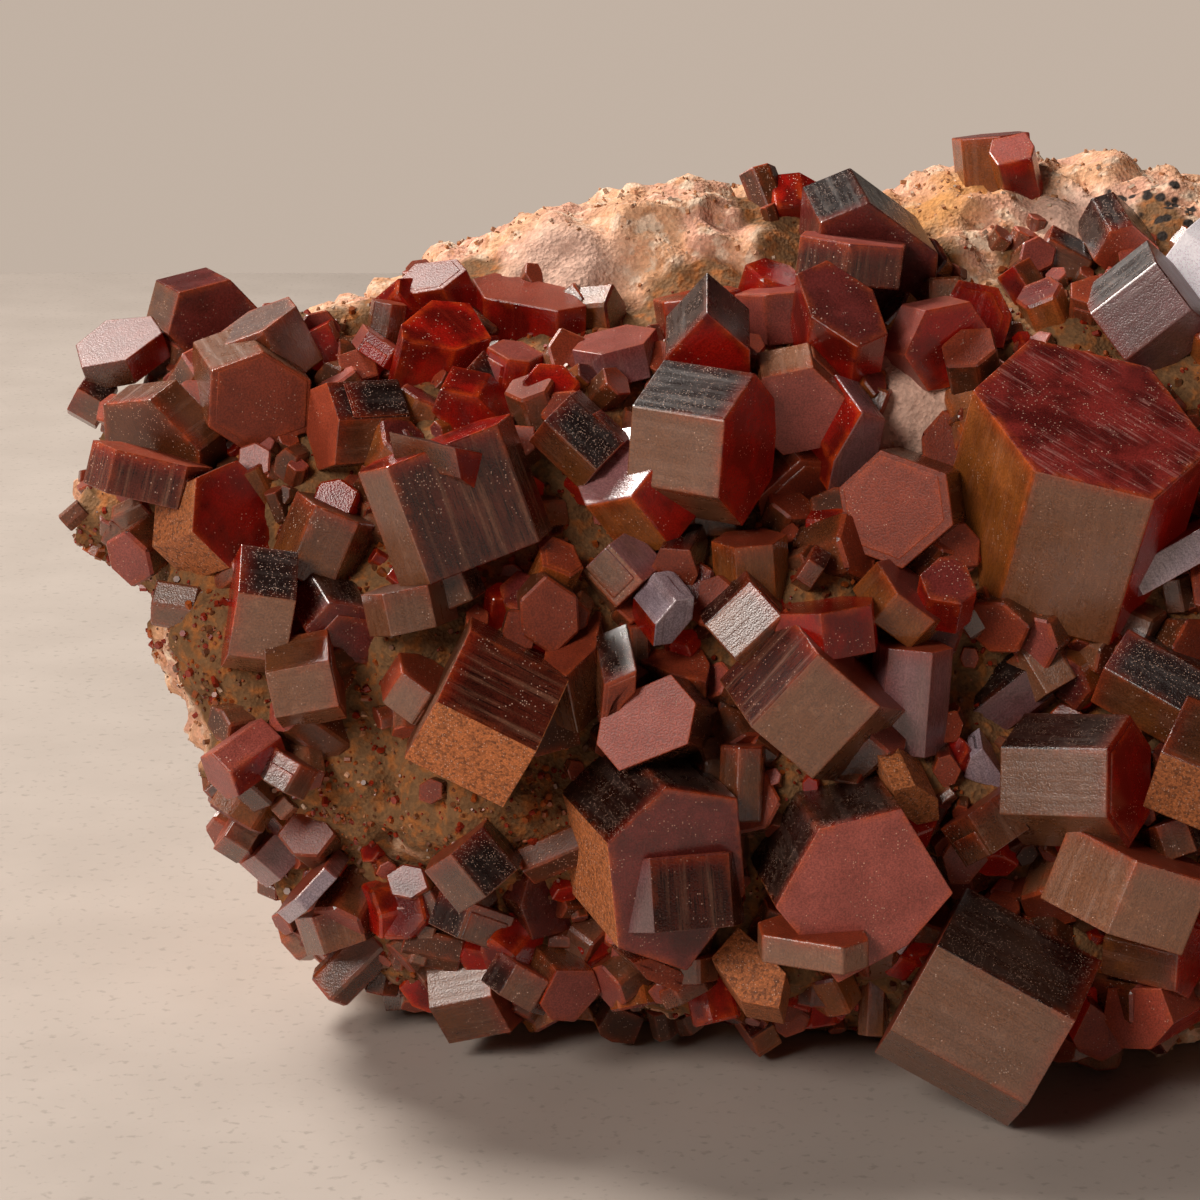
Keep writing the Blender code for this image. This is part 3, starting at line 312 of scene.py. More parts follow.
class Solver:
    """Turns drawings into prisms."""

    @staticmethod
    def full_outline(corners: list[Vector], along: Vector, lean: float) -> tuple[Vector, list[Vector]]:
        """Centre and six corners of an end face of which two to six corners are drawn.

        Args:
            corners: the drawn corners, in order.
            along: direction of the crystal's axis in the view.
            lean: how squarely the face is seen, from 1 to -1.

        Returns:
            The centre and the outline, both as plane coordinates.
        """
        if len(corners) == 2:
            first, second = corners
            width = (second - first).length
            third = second + (second - first) / 2 + along * (lean * width * math.sqrt(3) / 2)
            corners = [first, second, third]
        pairs = [(corners[index], corners[index + 3]) for index in range(len(corners) - 3)]
        if pairs:
            centre = sum((one + other for one, other in pairs), Vector((0, 0))) / (2 * len(pairs))
        else:
            centre = corners[0] + corners[2] - corners[1]
        missing = [2 * centre - corners[index - 3] for index in range(len(corners), 6)]
        return centre, corners + missing

    @staticmethod
    def rows_of(outline: list[Vector], direction: Vector) -> Vector:
        """The two numbers that a regular hexagon's corners give along one direction."""
        spokes = [(outline[index] - outline[index + 3]) / 2 for index in range(3)]
        error = (spokes[0] - spokes[1] + spokes[2]) / 3
        first = (spokes[0] - error).dot(direction)
        second = (spokes[1] + error).dot(direction)
        return Vector((first, (2 * second - first) / math.sqrt(3)))

    @staticmethod
    def tabular_offsets(widths: list[float], radius: float) -> list[Point]:
        """Corners of an end face stretched sideways, from the drawn widths of its near sides."""
        hand = math.copysign(1, widths[1])
        first, middle, last = [abs(width) / radius for width in widths]
        turn = math.atan((first - last) / (math.sqrt(3) * (first + last)))
        short = first / math.cos(SIXTH - turn)
        steps = (
            Vector((math.cos(SIXTH - turn), -math.sin(SIXTH - turn))) * short,
            Vector((math.cos(turn), math.sin(turn))) * (middle / math.cos(turn)),
            Vector((math.cos(SIXTH + turn), math.sin(SIXTH + turn))) * short,
        )
        corners = [Vector((0, 0))]
        for step in steps + tuple(-step for step in steps[:2]):
            corners.append(corners[-1] + step)
        middle_point = (corners[0] + corners[3]) / 2
        return [(hand * (corner - middle_point).x, (corner - middle_point).y) for corner in corners]

    @staticmethod
    def regular_offsets(lean: float, wide: Vector, deep: Vector) -> list[Point]:
        """Corners of a regular end face of radius one, across the axis and along the sight."""
        choices = []
        for hand in (1, -1):
            from_width = Vector((wide[0], -hand * wide[1]))
            from_depth = Vector((hand * deep[1], deep[0])) * math.copysign(1, lean)
            turn = (from_width + from_depth).normalized()
            start = math.atan2(turn.y, turn.x)
            choices.append((math.sin(start + hand * SIXTH), start, hand))
        start, hand = min(choices)[1:]
        angles = [start + hand * SIXTH * index for index in range(6)]
        return [(math.cos(angle), math.sin(angle)) for angle in angles]

    def solve(self, drawing: Drawing, heap: "Heap") -> Prism:
        """The prism that a drawing shows.

        Args:
            drawing: the crystal as drawn.
            heap: the lobes that it grows on, which give its depth.

        Returns:
            The prism in the grid's frame.
        """
        corners = drawing.flat_corners()
        along = (corners[1] - grid_vector(drawing.tail)).normalized()
        across = Vector((along.y, -along.x))
        drawn_lean = SLIGHT_LEAN if drawing.lean is None else drawing.lean
        centre, outline = self.full_outline(corners, along, drawn_lean)
        wide = self.rows_of(outline, across)
        deep = self.rows_of(outline, along)
        radius = wide.length
        lean = drawing.lean
        if lean is None:
            lean = SLIGHT_LEAN if len(corners) == 2 else min(deep.length / radius, MOST_LEAN)
        slant = math.sqrt(1 - lean * lean)
        length = (corners[1] - grid_vector(drawing.tail)).length / slant
        if drawing.length:
            length = drawing.length * MM
        elif lean >= FACE_ON:
            length = min(length, LONGEST_SHARE * radius)
        body = centre - along * (length * slant / 2)
        depth = heap.depth(body) - STAND_OUT * radius * slant - drawing.near * MM
        spread = (VIEW_DISTANCE + depth) / VIEW_DISTANCE
        if not drawing.length:
            length *= spread
        radius *= spread
        line = sight(centre)
        tilt_right = VIEW_RIGHT - line * VIEW_RIGHT.dot(line)
        tilt_up = VIEW_UP - line * VIEW_UP.dot(line)
        along_space = (tilt_right * along.x + tilt_up * along.y).normalized()
        outward = along_space * slant - line * lean
        face = in_space(centre, depth - lean * length / 2)
        if lean >= FACE_ON or (len(corners) == 6 and lean >= LEAST_DRAWN_LEAN):
            ring = [on_plane(corner, face, outward) for corner in outline]
            return Prism(drawing.name, ring, outward, length, drawing.look)
        if len(corners) == 4:
            widths = [(end - start).dot(across) for start, end in zip(corners, corners[1:])]
            offsets = self.tabular_offsets(widths, radius / spread)
        else:
            offsets = self.regular_offsets(lean, wide, deep)
        fitted = offsets[: max(len(corners), 3)]
        shift = Vector((0, 0))
        for corner, (side, depth_share) in zip(outline, fitted):
            shift += corner - centre - (across * side + along * (lean * depth_share)) * wide.length
        face = in_space(centre + shift / len(fitted), depth - lean * length / 2)
        across_space = (tilt_right * across.x + tilt_up * across.y).normalized()
        inward = along_space * lean + line * slant
        ring = [face + (across_space * side + inward * share) * radius for side, share in offsets]
        return Prism(drawing.name, ring, outward, length, drawing.look)

    @staticmethod
    def rooted(prism: Prism, heap: "Heap") -> Prism:
        """Lengthens a crystal that points out of the stone until its foot is rooted in it."""
        line = (prism.centre - EYE).normalized()
        lean = max(0.0, -prism.outward.dot(line))
        extra = 0.0
        while extra < LONGEST_ROOT * lean * lean:
            foot = prism.centre - prism.outward * (prism.length + extra)
            if heap.holds(foot) > ROOT_DEPTH:
                return replace(prism, length=prism.length + extra)
            extra += ROOT_STEP
        return prism

    @staticmethod
    def lifted(prism: Prism) -> Prism:
        """Keeps a crystal above the resting surface: shorter first, then nearer the eye."""
        least = SHORTEST_LIFTED * prism.radius
        while prism.lowest() < LOWEST_CORNER and prism.length > least and prism.outward.z > 0:
            prism = replace(prism, length=prism.length - ROOT_STEP)
        if prism.lowest() < LOWEST_CORNER:
            return prism.scaled(EYE, (EYE.z - LOWEST_CORNER) / (EYE.z - prism.lowest()))
        return prism


class Heap:
    """The heap of lobes that the stone is made of: how deep it lies, and what is inside it."""

    def __init__(self) -> None:
        """Places the lobes in space."""
        self.lobes = []
        for column, row, front, back, radius in ALL_LOBES:
            centre = in_space(grid_vector((column, row)), (front + back) / 2 * MM)
            self.lobes.append((centre, Vector((radius, radius, (back - front) / 2)) * MM))

    @staticmethod
    def by_size(vector: Vector, halves: Vector) -> Vector:
        """A vector along the lobe's own axes, measured by its half sizes."""
        parts = (vector.dot(VIEW_RIGHT), vector.dot(VIEW_UP), vector.dot(VIEW_AWAY))
        return Vector([part / half for part, half in zip(parts, halves)])

    def hit(self, flat: Vector) -> tuple[Optional[Vector], Optional[Vector]]:
        """Where one line of sight meets the heap first, and the surface normal there."""
        direction = sight(flat)
        first = None
        for centre, halves in self.lobes:
            start = self.by_size(EYE - centre, halves)
            step = self.by_size(direction, halves)
            middle = -start.dot(step) / step.dot(step)
            inside = middle * middle - (start.dot(start) - 1) / step.dot(step)
            if inside < 0:
                continue
            distance = middle - math.sqrt(inside)
            if first is None or distance < first[0]:
                first = (distance, centre, halves)
        if first is None:
            return None, None
        distance, centre, halves = first
        place = EYE + direction * distance
        right, up, away = [part / half for part, half in zip(self.by_size(place - centre, halves), halves)]
        return place, (VIEW_RIGHT * right + VIEW_UP * up + VIEW_AWAY * away).normalized()

    def nearest(self, flat: Vector) -> Vector:
        """The point of one line of sight that passes nearest to a lobe."""
        direction = sight(flat)
        nearest = None
        for centre, halves in self.lobes:
            start = self.by_size(EYE - centre, halves)
            step = self.by_size(direction, halves)
            place = EYE - direction * (start.dot(step) / step.dot(step))
            if nearest is None or self.holds(place) > self.holds(nearest):
                nearest = place
        return nearest

    def depth(self, flat: Vector) -> float:
        """Depth behind the specimen's middle at which one line of sight meets the heap or passes it."""
        place = self.hit(flat)[0]
        if place is None:
            place = self.nearest(flat)
        return (place - VIEW_MIDDLE).dot(VIEW_AWAY)

    def holds(self, point: Vector) -> float:
        """Depth of a point inside the heap, negative outside."""
        return max(
            (1 - self.by_size(point - centre, halves).length) * halves.x for centre, halves in self.lobes
        )


@dataclass
class CoarseStone:
    """The stone's solid body before it is broken up finely.

    keep is the share of its faces that is kept, and broad and fine are its swells and small bumps: how
    many there are to a metre, and their share of the roughness.
    """

    cell: float = 2.7 * MM
    keep: float = 0.17
    roughness: float = 0.9 * MM
    broad: Point = (90, 1.4)
    fine: Point = (260, 0.7)
    seed: int = 7

    @staticmethod
    def lobe_mesh(heap: Heap) -> bpy.types.Mesh:
        """All lobes as separate overlapping ellipsoids in one mesh."""
        shape = bmesh.new()
        turn = Matrix((VIEW_RIGHT, VIEW_UP, VIEW_AWAY)).transposed().to_4x4()
        for centre, halves in heap.lobes:
            place = Matrix.Translation(centre) @ turn @ Matrix.Diagonal((*halves, 1))
            bmesh.ops.create_icosphere(shape, subdivisions=3, radius=1, matrix=place)
        mesh = bpy.data.meshes.new("lobes")
        shape.to_mesh(mesh)
        shape.free()
        return mesh

    def build(self, heap: Heap) -> bpy.types.Object:
        """Remeshed lobes, roughened, thinned out and cut flat below."""
        stone = Workshop.linked("coarse_stone", self.lobe_mesh(heap))
        Workshop.remeshed(stone, self.cell, 2)
        noise.seed_set(self.seed)
        for vertex in stone.data.vertices:
            broad = noise.noise_vector(vertex.co * self.broad[0]) * self.broad[1]
            fine = noise.noise_vector(vertex.co * self.fine[0]) * self.fine[1]
            vertex.co += (broad + fine) * self.roughness
        thin = stone.modifiers.new("thin", "DECIMATE")
        thin.ratio = self.keep
        Workshop.apply_modifiers(stone)
        Workshop.cut_flat(stone, 0.0)
        return stone


class Workshop:
    """Small hand tools shared by all pieces."""

    @staticmethod
    def linked(name: str, mesh: bpy.types.Mesh) -> bpy.types.Object:
        """A new object in the scene."""
        made = bpy.data.objects.new(name, mesh)
        bpy.context.scene.collection.objects.link(made)
        return made

    @staticmethod
    def only(piece: bpy.types.Object) -> None:
        """Selects one object alone and makes it active."""
        for other in bpy.context.selected_objects:
            other.select_set(False)
        piece.select_set(True)
        bpy.context.view_layer.objects.active = piece

    @staticmethod
    def apply_modifiers(piece: bpy.types.Object) -> None:
        """Applies all modifiers of a piece, in order."""
        Workshop.only(piece)
        for modifier in list(piece.modifiers):
            bpy.ops.object.modifier_apply(modifier=modifier.name)

    @staticmethod
    def remeshed(piece: bpy.types.Object, cell: float, smoothings: int) -> None:
        """Remeshes a piece evenly and smooths it, with its points in a fixed order.

        Args:
            piece: a closed mesh.
            cell: size of the new faces in metres.
            smoothings: how often the points settle between their neighbours.
        """
        remesh = piece.modifiers.new("remesh", "REMESH")
        remesh.mode = "VOXEL"
        remesh.voxel_size = cell
        Workshop.apply_modifiers(piece)
        mesh = piece.data
        places = [tuple(vertex.co) for vertex in mesh.vertices]
        order = sorted(range(len(places)), key=places.__getitem__)
        rank = {old: new for new, old in enumerate(order)}
        faces = []
        for polygon in mesh.polygons:
            corners = [rank[index] for index in polygon.vertices]
            start = corners.index(min(corners))
            faces.append(corners[start:] + corners[:start])
        mesh.clear_geometry()
        mesh.from_pydata([places[index] for index in order], [], sorted(faces))
        mesh.update()
        smooth = piece.modifiers.new("smooth", "SMOOTH")
        smooth.iterations = smoothings
        Workshop.apply_modifiers(piece)

    @staticmethod
    def cut_flat(piece: bpy.types.Object, height: float) -> None:
        """Cuts a closed body off below a height and closes the cut.

        Args:
            piece: the body.
            height: where the flat underside lies.
        """
        Workshop.only(piece)
        bpy.ops.object.mode_set(mode="EDIT")
        bpy.ops.mesh.select_all(action="SELECT")
        bpy.ops.mesh.bisect(plane_co=(0, 0, height), plane_no=(0, 0, 1), use_fill=True, clear_inner=True)
        bpy.ops.object.mode_set(mode="OBJECT")

    @staticmethod
    def joined(name: str, parts: list[bpy.types.Object]) -> bpy.types.Object:
        """Joins objects into one piece with a name of its own."""
        for other in bpy.context.selected_objects:
            other.select_set(False)
        for part in parts:
            part.select_set(True)
        bpy.context.view_layer.objects.active = parts[0]
        bpy.ops.object.join()
        parts[0].name = name
        parts[0].data.name = name
        return parts[0]


@dataclass
class CrystalMaker:
    """Shapes one crystal with edit-mode tools and marks its faces for their finishes.

    Pairs are the least and the most of what is drawn at random. stepped is the share of crystals of
    a middling radius that show growth steps, and raised the share of those steps on the end face.
    """

    finishes: list[bpy.types.Material]
    chamfer: float = 0.1 * MM
    chamfer_spread: Point = (0.6, 1.5)
    rim: float = 0.7 * MM
    rim_share: float = 0.3
    stepped: float = 0.4
    step_radii: Point = (1.2 * MM, 5 * MM)
    step_widths: Point = (0.72, 0.95)
    step_heights: Point = (0.04, 0.14)  # millimetres
    step_drops: Point = (0.1, 0.5)
    raised: float = 0.4
    raised_heights: Point = (0.03, 0.1)  # millimetres
    tint_spread: float = 0.16
    map_shift: float = 50  # millimetres
    dice: random.Random = field(default_factory=lambda: random.Random(7))

    def make(self, prism: Prism) -> list[bpy.types.Object]:
        """The crystal and its growth steps as loose objects."""
        crystal = self.solid(prism)
        return [crystal] + [self.solid(step) for step in self.growth_steps(prism)]

    def growth_steps(self, prism: Prism) -> list[Prism]:
        """Thinner or shorter prisms in the same stance that show as steps on the faces."""
        radius = prism.radius
        least, most = self.step_radii
        if not least < radius < most or self.dice.random() > self.stepped:
            return []
        steps = []
        centre = prism.centre
        across = (prism.ring[0] - centre).normalized()
        beside = prism.outward.cross(across)
        for _ in range(self.dice.choice((1, 1, 2))):
            shrink = self.dice.uniform(*self.step_widths)
            room = radius * (1 - shrink) + self.dice.uniform(*self.step_heights) * MM
            turn = self.dice.randrange(6) * SIXTH + SIXTH / 2
            shift = (across * math.cos(turn) + beside * math.sin(turn)) * room * math.cos(SIXTH / 2)
            drop = prism.length * self.dice.uniform(*self.step_drops)
            if self.dice.random() < self.raised:
                drop = self.dice.uniform(*self.raised_heights) * MM * -1
                shift *= 0.4
            shift -= prism.outward * drop
            ring = [centre + (corner - centre) * shrink + shift for corner in prism.ring]
            steps.append(replace(prism, ring=ring, length=max(prism.length - drop, SHORTEST_STEP)))
        return steps

    def solid(self, prism: Prism, plain: bool = False) -> bpy.types.Object:
        """One six-sided solid with chamfered edges, rims inside its faces and marked faces.

        Args:
            prism: where it stands.
            plain: whether it makes do with few faces, as one that is copied often does.

        Returns:
            The solid, in the record's frame, with material indices, a face map in millimetres,
            and the attributes rim and tint.
        """
        bpy.ops.mesh.primitive_cylinder_add(vertices=6, radius=prism.radius, depth=prism.length)
        piece = bpy.context.object
        piece.name = prism.name
        mesh = piece.data
        for finish in self.finishes:
            mesh.materials.append(finish)
        low = prism.outward * prism.length
        ring = prism.ring
        if (ring[1] - ring[0]).cross(ring[2] - ring[1]).dot(prism.outward) < 0:
            ring = ring[::-1]
        for vertex in mesh.vertices:
            turn = math.atan2(vertex.co.x, vertex.co.y)
            corner = ring[-round(turn / SIXTH) % 6]
            vertex.co = corner + TO_RECORD if vertex.co.z > 0 else corner - low + TO_RECORD
        piece.location = (0, 0, 0)
        bpy.ops.object.mode_set(mode="EDIT")
        bpy.ops.mesh.select_all(action="SELECT")
        chamfer = self.chamfer * self.dice.uniform(*self.chamfer_spread)
        chamfer = min(chamfer, prism.radius * 0.08, prism.length * 0.1)
        bpy.ops.mesh.bevel(offset=chamfer, segments=1 if plain else 2, affect="EDGES")
        bpy.ops.object.mode_set(mode="OBJECT")
        self.mark(piece, prism, plain)
        return piece

    def mark(self, piece: bpy.types.Object, prism: Prism, plain: bool) -> None:
        """Insets the large faces, and writes finishes, face map and attributes."""
        shape = bmesh.new()
        shape.from_mesh(piece.data)
        shape.verts.layers.float.new("rim")
        shape.verts.layers.float.new("tint")
        rims = shape.verts.layers.float["rim"]
        tints = shape.verts.layers.float["tint"]
        flat = shape.loops.layers.uv.new("face")
        axis = prism.outward
        broad = []
        for kind in (self.is_side, self.is_end):
            broad += [face for face in shape.faces if kind(face, prism)]
        if plain:
            broad = [face for face in broad if face.normal.dot(axis) > -END_ON]
        rim = min(self.rim, prism.radius * self.rim_share, prism.length * self.rim_share)
        bmesh.ops.inset_individual(shape, faces=broad, thickness=rim, use_even_offset=True)
        inner = {vertex for face in broad for vertex in face.verts}
        centre = prism.centre + TO_RECORD
        offset = self.dice.uniform(0, self.map_shift)
        tint = clamped(prism.look.tint + self.dice.gauss(0, self.tint_spread))
        for vertex in shape.verts:
            # The rim value carries the painted rim light: full next to the end face, less lower down, none
            # inside the inset faces
            below = -(vertex.co - centre).dot(axis)
            rim_light = 1.0 if below < rim else LOW_RIM_LIGHT
            vertex[rims] = 0.0 if vertex in inner else rim_light
            vertex[tints] = tint
        first = (prism.ring[0] - prism.centre).normalized()
        second = axis.cross(first)
        for face in shape.faces:
            normal = face.normal
            endwise = abs(normal.dot(axis)) > END_ON
            face.material_index = list(Skin).index(self.skin_for(prism.look, normal, endwise))
            across = normal.cross(axis)
            across = across.normalized() if across.length > 0.05 else first
            for loop in face.loops:
                away = (loop.vert.co - centre) / MM
                if endwise:
                    loop[flat].uv = (away.dot(first) + offset, away.dot(second) + offset)
                else:
                    loop[flat].uv = (away.dot(across) + offset, -away.dot(axis))
        shape.to_mesh(piece.data)
        shape.free()

    @staticmethod
    def is_side(face: bmesh.types.BMFace, prism: Prism) -> bool:
        """Whether a face is one of the six sides and not a chamfer."""
        beside = abs(face.normal.dot(prism.outward)) < 0.3
        return beside and face.calc_area() > prism.radius * prism.length * 0.2

    @staticmethod
    def is_end(face: bmesh.types.BMFace, prism: Prism) -> bool:
        """Whether a face is one of the two ends and not a chamfer."""
        return abs(face.normal.dot(prism.outward)) > 0.98 and face.calc_area() > prism.radius**2 * 0.5

    @staticmethod
    def skin_for(look: Look, normal: Vector, endwise: bool) -> Skin:
        """The finish of a face, from where it looks."""
        if endwise:
            return look.end
        # Faces turned up: the top finish, on most crystals a near-black painted dark reflection of the room
        # above
        if normal.z > FACES_UP:
            return look.top
        if look.left and normal.x < -FACES_ASIDE:
            return look.left
        if look.right and normal.x > FACES_ASIDE:
            return look.right
        return look.side


class CrystalCluster:
    """The crystals of one region of the front view, as one piece."""

    def __init__(self, name: str, prisms: list[Prism], nodes: list[str]) -> None:
        """Keeps what the piece is made of.

        Args:
            name: the piece's name.
            prisms: its crystals.
            nodes: the solids that it stands for.
        """
        self.name = name
        self.prisms = prisms
        self.nodes = nodes

    def build(self, maker: CrystalMaker) -> bpy.types.Object:
        """Makes all crystals and joins them."""
        parts = []
        for prism in self.prisms:
            parts += maker.make(prism)
        piece = Workshop.joined(self.name, parts)
        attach(piece, BODY)
        if self.nodes:
            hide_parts(*self.nodes)
        LOG.info("%s: %d crystals, %d faces", self.name, len(self.prisms), len(piece.data.polygons))
        return piece


KINDS_OF_GROUND = ("ochre", "manganese", "pale", "bare", "slope")
CRUST = "crust"


@dataclass(frozen=True)
class Spot:
    """A patch of the stone with a colour of its own, placed on the front view's grid."""

    place: Point
    reach: float  # millimetres


@dataclass(frozen=True)
class Bumps:
    """One kind of unevenness: how often it repeats per metre, and its height in millimetres."""

    often: float
    height: float


@dataclass
class FineStone:
    """The matrix: the coarse body remeshed finely, broken up and coloured by patches."""

    cell: float = 0.68 * MM
    smoothing: int = 3
    shading_angle: float = math.radians(50)
    free_reach: float = 4 * MM  # from a crystal to where the stone is at its roughest
    crust_reach: float = 5 * MM
    settling: float = 1.5 * MM
    foot_cut: float = 0.02 * MM
    warp: Bumps = Bumps(180, 1.2)
    lumps: Bumps = Bumps(150, 0.55)
    ledges: Bumps = Bumps(260, 2.6)
    knobs: Bumps = Bumps(520, 0.7)
    pits: Bumps = Bumps(420, 0.5)
    crumbs: Bumps = Bumps(1100, 0.22)
    ochre: tuple[Spot, ...] = (Spot((915, 195), 6.5), Spot((975, 175), 5.0), Spot((1330, 300), 7.0))
    manganese: tuple[Spot, ...] = (Spot((1165, 205), 5.0), Spot((1120, 185), 3.0), Spot((1260, 240), 6.0))
    pale: tuple[Spot, ...] = (
        Spot((905, 405), 7.0),
        Spot((560, 262), 7.0),
        Spot((1080, 215), 6.0),
        Spot((860, 360), 4.0),
    )
    bare: tuple[Spot, ...] = (
        Spot((480, 262), 5.0),
        Spot((600, 235), 8.0),
        Spot((700, 225), 9.0),
        Spot((640, 320), 4.0),
        Spot((905, 182), 8.0),
        Spot((960, 172), 6.0),
        Spot((1060, 172), 7.0),
        Spot((1090, 215), 8.0),
        Spot((1140, 190), 7.0),
        Spot((905, 410), 4.0),
    )
    slope: tuple[Spot, ...] = (
        Spot((150, 590), 9.0),
        Spot((230, 660), 10.0),
        Spot((330, 780), 9.0),
        Spot((520, 800), 8.0),
    )

    def build(
        self, coarse: bpy.types.Object, heap: Heap, prisms: list[Prism], finish: bpy.types.Material
    ) -> bpy.types.Object:
        """Makes the stone.

        Args:
            coarse: the body that gives its shape, which is used up.
            heap: the lobes that it is made of.
            prisms: the crystals on it, in the grid's frame.
            finish: its material.

        Returns:
            The finished piece, in the record's frame.
        """
        piece = coarse
        piece.name = "matrix_stone"
        Workshop.remeshed(piece, self.cell, self.smoothing)
        rooted = [prism for prism in prisms if not prism.name.startswith("ridge")]
        centres = [(prism.centre - prism.outward * prism.length / 2, prism.radius) for prism in rooted]
        normals = [vertex.normal.copy() for vertex in piece.data.vertices]
        for vertex, normal in zip(piece.data.vertices, normals):
            nearest = self.nearest(vertex.co, centres)
            open_ground = clamped(nearest / self.free_reach - 0.3, 0.15)
            settle = clamped(vertex.co.z / self.settling)
            vertex.co += normal * (self.relief(vertex.co, open_ground) * settle)
        Workshop.cut_flat(piece, self.foot_cut)
        self.paint(piece, heap, centres)
        piece.data.transform(Matrix.Translation(TO_RECORD))
        piece.data.materials.clear()
        piece.data.materials.append(finish)
        Workshop.only(piece)
        bpy.ops.object.shade_smooth_by_angle(angle=self.shading_angle)
        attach(piece, BODY)
        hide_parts("matrix")
        LOG.info("matrix_stone: %d faces", len(piece.data.polygons))
        return piece

    @staticmethod
    def nearest(place: Vector, centres: list[tuple[Vector, float]]) -> float:
        """How far a place is from the nearest crystal, each given as a centre and a radius."""
        return min((place - centre).length - radius for centre, radius in centres)

    def relief(self, place: Vector, open_ground: float) -> float:
        """How far the broken surface stands out at a point, in metres.

        Args:
            place: the point.
            open_ground: 1 where no crystal is near, and less beside one.

        Returns:
            The height of lumps, ledges, pits and crumbs together.
        """
        warped = place + noise.noise_vector(place * self.warp.often) * self.warp.height * MM
        lumps = noise.fractal(warped * self.lumps.often, 0.8, 2.1, 3) * self.lumps.height
        ledges = (abs(noise.noise(warped * self.ledges.often)) * self.ledges.height - 0.7) * open_ground
        knobs = noise.noise(warped * self.knobs.often) * self.knobs.height * open_ground
        pits = -abs(noise.noise(warped * self.pits.often)) * self.pits.height
        crumbs = noise.noise(place * self.crumbs.often) * self.crumbs.height
        return (lumps + ledges + knobs + pits + crumbs + 0.12) * MM

    def paint(self, piece: bpy.types.Object, heap: Heap, centres: list[tuple[Vector, float]]) -> None:
        """Writes where the stone is ochre, pale, spotted with manganese, bare or crusted."""
        vertices = piece.data.vertices
        for kind in KINDS_OF_GROUND:
            places = []
            for spot in getattr(self, kind):
                place = heap.hit(grid_vector(spot.place))[0] or in_space(grid_vector(spot.place), 30 * MM)
                places.append((place, spot.reach * MM))
            values = []
            for vertex in vertices:
                share = max(1 - (vertex.co - place).length / reach for place, reach in places)
                values.append(clamped(share * 1.8))
            self.write(piece, kind, values)
        near = [1.25 - self.nearest(vertex.co, centres) / self.crust_reach for vertex in vertices]
        self.write(piece, CRUST, [clamped(share) for share in near])

    @staticmethod
    def write(piece: bpy.types.Object, name: str, values: list[float]) -> None:
        """Adds an attribute with one value for each point."""
        piece.data.attributes.new(name, "FLOAT", "POINT").data.foreach_set("value", values)


@dataclass
class Scatter:
    """Small bodies copied many times over the stone's faces, as one piece.

    sunk is how deep a copy sits as a share of its size, tumble how far it leans, and bias how much
    commoner small copies are. widths and heights are how far copies are stretched.
    """

    name: str
    count: int
    sizes: Point  # millimetres
    seed: int
    sunk: float = 0.3
    tumble: float = 0.6
    bias: float = 1.6
    widths: Point = (0.8, 1.1)
    heights: Point = (0.7, 1.3)
    tint_range: Point = (0.2, 0.8)

    def build(
        self,
        stone: bpy.types.Object,
        patterns: Sequence[bpy.types.Object],
        wanted: "SurfacePicker",
        finishes: Sequence[bpy.types.Material],
        slot: str,
    ) -> bpy.types.Object:
        """Copies patterns over the stone.

        Args:
            stone: the fine stone.
            patterns: the bodies to copy, about one unit in size, each with its finishes set.
            wanted: says where on the stone copies stand.
            finishes: the materials of all patterns, in the order of their indices.
            slot: not used.

        Returns:
            The piece, joined and riding.
        """
        dice = random.Random(self.seed)
        moulds = [Mould(pattern) for pattern in patterns]
        vertices: list[Vector] = []
        polygons: list[tuple[int, ...]] = []
        kinds: list[int] = []
        rims: list[float] = []
        tints: list[float] = []
        flats: list[float] = []
        for place, normal in wanted.pick(stone, self.count, dice):
            mould = dice.choice(moulds)
            lean = Vector([dice.gauss(0, self.tumble) for _ in range(3)])
            outward = (normal + lean).normalized()
            small, large = self.sizes
            size = small * (large / small) ** (dice.random() ** self.bias) * MM
            spin = Matrix.Rotation(dice.uniform(0, 2 * math.pi), 3, "Z")
            turn = outward.to_track_quat("Z", "X").to_matrix() @ spin
            stretch = Matrix.Diagonal((1, dice.uniform(*self.widths), dice.uniform(*self.heights)))
            start = len(vertices)
            base = place - outward * size * self.sunk
            vertices += [base + turn @ (stretch @ (point * size)) for point in mould.points]
            if min(vertex.z for vertex in vertices[start:]) < LOWEST_CORNER:
                del vertices[start:]
                continue
            polygons += [tuple(start + index for index in face) for face in mould.faces]
            kinds += mould.kinds
            rims += mould.rims
            tints += [dice.uniform(*self.tint_range)] * len(mould.points)
            flats += [value * size / MM for value in mould.flats]
        mesh = bpy.data.meshes.new(self.name)
        mesh.from_pydata(vertices, [], polygons)
        piece = Workshop.linked(self.name, mesh)
        for finish in finishes:
            mesh.materials.append(finish)
        mesh.polygons.foreach_set("material_index", kinds)
        mesh.attributes.new("rim", "FLOAT", "POINT").data.foreach_set("value", rims)
        mesh.attributes.new("tint", "FLOAT", "POINT").data.foreach_set("value", tints)
        mesh.uv_layers.new(name="face").data.foreach_set("uv", flats)
        mesh.update()
        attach(piece, BODY)
        LOG.info("%s: %d copies, %d faces", self.name, self.count, len(polygons))
        return piece


class Mould:
    """What a copy takes from its pattern."""

    def __init__(self, pattern: bpy.types.Object) -> None:
        """Reads points, faces, finishes, rims and the face map of a pattern."""
        mesh = pattern.data
        self.points = [vertex.co.copy() for vertex in mesh.vertices]
        self.faces = [tuple(face.vertices) for face in mesh.polygons]
        self.kinds = [face.material_index for face in mesh.polygons]
        rim = mesh.attributes.get("rim")
        self.rims = [value.value for value in rim.data] if rim else [0.0] * len(self.points)
        self.flats = []
        for loop in mesh.uv_layers.active.data:
            self.flats += loop.uv[:]


